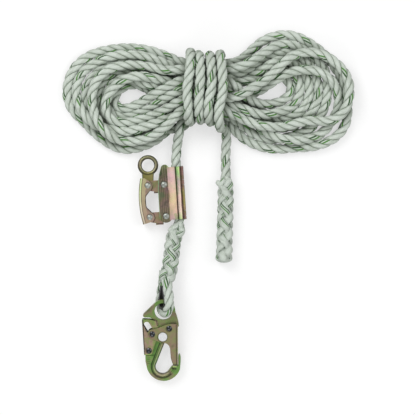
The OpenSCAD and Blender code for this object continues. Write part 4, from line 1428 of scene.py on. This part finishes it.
    green: PlatedSteel = PlatedSteel(
        "zinc_green",
        ramp(
            (0.3, 82, 120, 56), (0.42, 108, 144, 76), (0.5, 124, 134, 86), (0.57, 130, 118, 96),
            (0.68, 84, 106, 58)), patch=0.022, metallic=0.55,
        marks=(
            # along the hook's J: painted shade in the groove, a painted highlight on the bead and
            # painted shade at the inner edge
            *(Hoop(((0.6, -282.3),), width, colour, share, radius, leg=34, lean=21.5)
              for width, colour, share, radius in (
                  (2.2, DARK, 0.75, 17.8), (1.4, ink(188, 184, 150), 0.5, 13.8),
                  (1.2, DARK, 0.7, 11.4))),
            # painted shade beside the nose
            Line(((25.6, -262), (25.4, -279.4)), 1.2),
            # painted highlight on the notch's floor, then painted shade below it
            Line(((17.5, -282.2), (22.5, -282.2)), 1.4, ink(186, 206, 128)),
            Line(((16.8, -285.4), (21.4, -286)), 3.2),
            *(Line(((-23.4, y), (-19.6, y)), 0.9, share=0.5)
              for y in (-268.4, -271.3, -274.2, -277.2)),
        ))
    gate: PlatedSteel = PlatedSteel(
        "zinc_gate",
        ramp(
            (0.3, 100, 128, 66), (0.42, 122, 134, 82), (0.5, 136, 130, 94), (0.58, 142, 120, 102),
            (0.7, 100, 112, 66)), patch=0.024, metallic=0.55,
        marks=(
            # painted shade along the gate's edges and round its rivets and badge
            Line(((22.8, -215), (23.0, -278)), 1.3),
            Line(((11.4, -250.6), (14.0, -267.4), (17.0, -278.4)), 0.9, share=0.6),
            Line(((17.6, -278.6), (25, -278.6)), 1.2),
            Line(((-15.4, -222), (-5.6, -219), (4.2, -214.4), (14, -212.9), (24, -213.2)), 1.0),
            Line(((-20.2, -237), (-9.6, -242.8), (1.4, -243.8)), 1.0, share=0.5),
            *rings(1.0, 4.8, (11.1, -221.4), (-16.2, -230.2)),
            *rings(1.0, 7.9, (0.8, -234.6)),
        ))
    steel: PlainFinish = PlainFinish(
        "bright_steel", (0.44, 0.47, 0.43), (0.26, 0.28, 0.25), 0.46, 0.80)
    head: PlainFinish = PlainFinish(
        "dark_heads", (0.075, 0.078, 0.085), (0.035, 0.036, 0.038), 0.20, 0.9)
    badge: PlainFinish = PlainFinish(
        "badge_plate", (0.80, 0.81, 0.82), (0.66, 0.67, 0.69), 0.35, 0.15)
    nylon: PlainFinish = PlainFinish(
        "thimble_nylon", (0.012, 0.012, 0.013), (0.022, 0.022, 0.022), 0.45)

    def dress(self) -> None:
        """Gives every steel node its finish."""
        for finish, nodes in (
            (self.shell, "rear_shell front_shell"),
            (self.gold, "lower_arm upper_arm"),
            (self.lever, "lock_lever"),
            (self.grip, "handle"),
            (self.olive, "connector_eye"),
            (self.green, "hook_frame"),
            (self.gate, "hook_gate"),
            (self.steel, "hinge_pin upper_body_pin lower_body_pin upper_lock_screw"
                         " lower_lock_screw cam_washers upper_cam lower_cam cam_spring"
                         " upper_handle_rivet lower_handle_rivet gate_spring"),
            (self.head, "gate_pivot_rivet gate_stop_rivet lever_pivot_rivet"),
            (self.badge, "gate_badge"),
            (self.nylon, "thimble"),
        ):
            dress([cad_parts[node] for node in nodes.split()], finish.material())


# ---- Studio ----


@dataclass
class Studio:
    """Pale floor, soft lamps and a camera straight above.

    Fields:
        middle: x, y that the camera looks down on.
        view_width: width of the view at the face's height.
        height: height of the camera above the face.
        face: height of the object's broad faces.
        sensor: width of the camera's sensor, in millimetres.
        world: brightness of the world's light.
        aim: place that the lamps shine at.
        soft_lamps: name, place, size and power of each.
    """

    middle: tuple = (0.0725, -0.0280)
    view_width: float = 0.664
    height: float = 3.0
    face: float = 0.012
    sensor: float = 36.0
    world: float = 0.50
    aim: tuple = (0.05, 0.0, 0.0)
    soft_lamps: tuple = (
        ("key", (-0.9, 1.1, 1.5), 1.2, 22.0),
        ("fill", (1.3, 0.2, 1.4), 1.4, 10.0),
        ("front", (-0.2, -1.5, 1.1), 1.0, 8.0),
    )

    def camera(self) -> None:
        """Sets a long lens square above the object."""
        data = bpy.data.cameras.new("camera")
        data.sensor_width = self.sensor
        data.lens = self.sensor * self.height / self.view_width
        data.clip_end = 20.0
        eye = bpy.data.objects.new("camera", data)
        eye.location = (*self.middle, self.height + self.face)
        bpy.context.scene.collection.objects.link(eye)
        bpy.context.scene.camera = eye

    def floor(self) -> None:
        """Lays the pale floor; the camera and reflections see it a little lighter."""
        bpy.ops.mesh.primitive_plane_add(size=14, location=(0, 0, -0.0003))
        floor = bpy.context.object
        floor.name = "floor"
        g = Graph.material("floor")
        seen = g.seen_by("Camera", "Glossy", "Transmission")
        material = g.finish(
            base_color=g.mix(seen, (0.40, 0.40, 0.39), (0.46, 0.46, 0.46)),
            emission_color=g.mix(seen, (0.0, 0.0, 0.0), (1.0, 1.0, 1.0)),
            emission_strength=0.56,
            roughness=0.9,
            specular_IOR_level=0.0,
        )
        dress([floor], material)

    def lamps(self) -> None:
        """Hangs the soft lamps and lights the world."""
        world = bpy.context.scene.world = bpy.data.worlds.new("studio")
        g = Graph(world)
        light = g.seen_by("Camera", "Transmission") * (1.0 - self.world) + self.world
        back = g.add("ShaderNodeBackground", {"Strength": light})
        g.add("ShaderNodeOutputWorld", {0: back}, None)
        for name, place, size, power in self.soft_lamps:
            data = bpy.data.lights.new(name, "AREA")
            data.size = size
            data.energy = power
            lamp = bpy.data.objects.new(name, data)
            lamp.location = place
            x, y, z = np.subtract(self.aim, place)
            tilt = math.atan2(math.hypot(x, y), -z)
            lamp.rotation_euler = (tilt, 0.0, math.atan2(y, x) - math.pi / 2)
            bpy.context.scene.collection.objects.link(lamp)

    def build(self) -> None:
        """Sets the whole studio up."""
        self.camera()
        self.floor()
        self.lamps()
        bpy.context.scene.view_settings.view_transform = "Standard"


def main() -> None:
    """Builds the studio, the rope and the steel finishes, and reports each piece."""
    logging.basicConfig(level=logging.INFO, format="%(message)s")
    Studio().build()
    line, fibre = Lifeline(), RopeFibre()
    pieces = line.build_eye(fibre) + line.build_hank(fibre)
    Steelwork().dress()
    for piece in pieces:
        log.info("%s: %d faces", piece.name, len(piece.data.polygons))


if __name__ == "__main__":
    main()
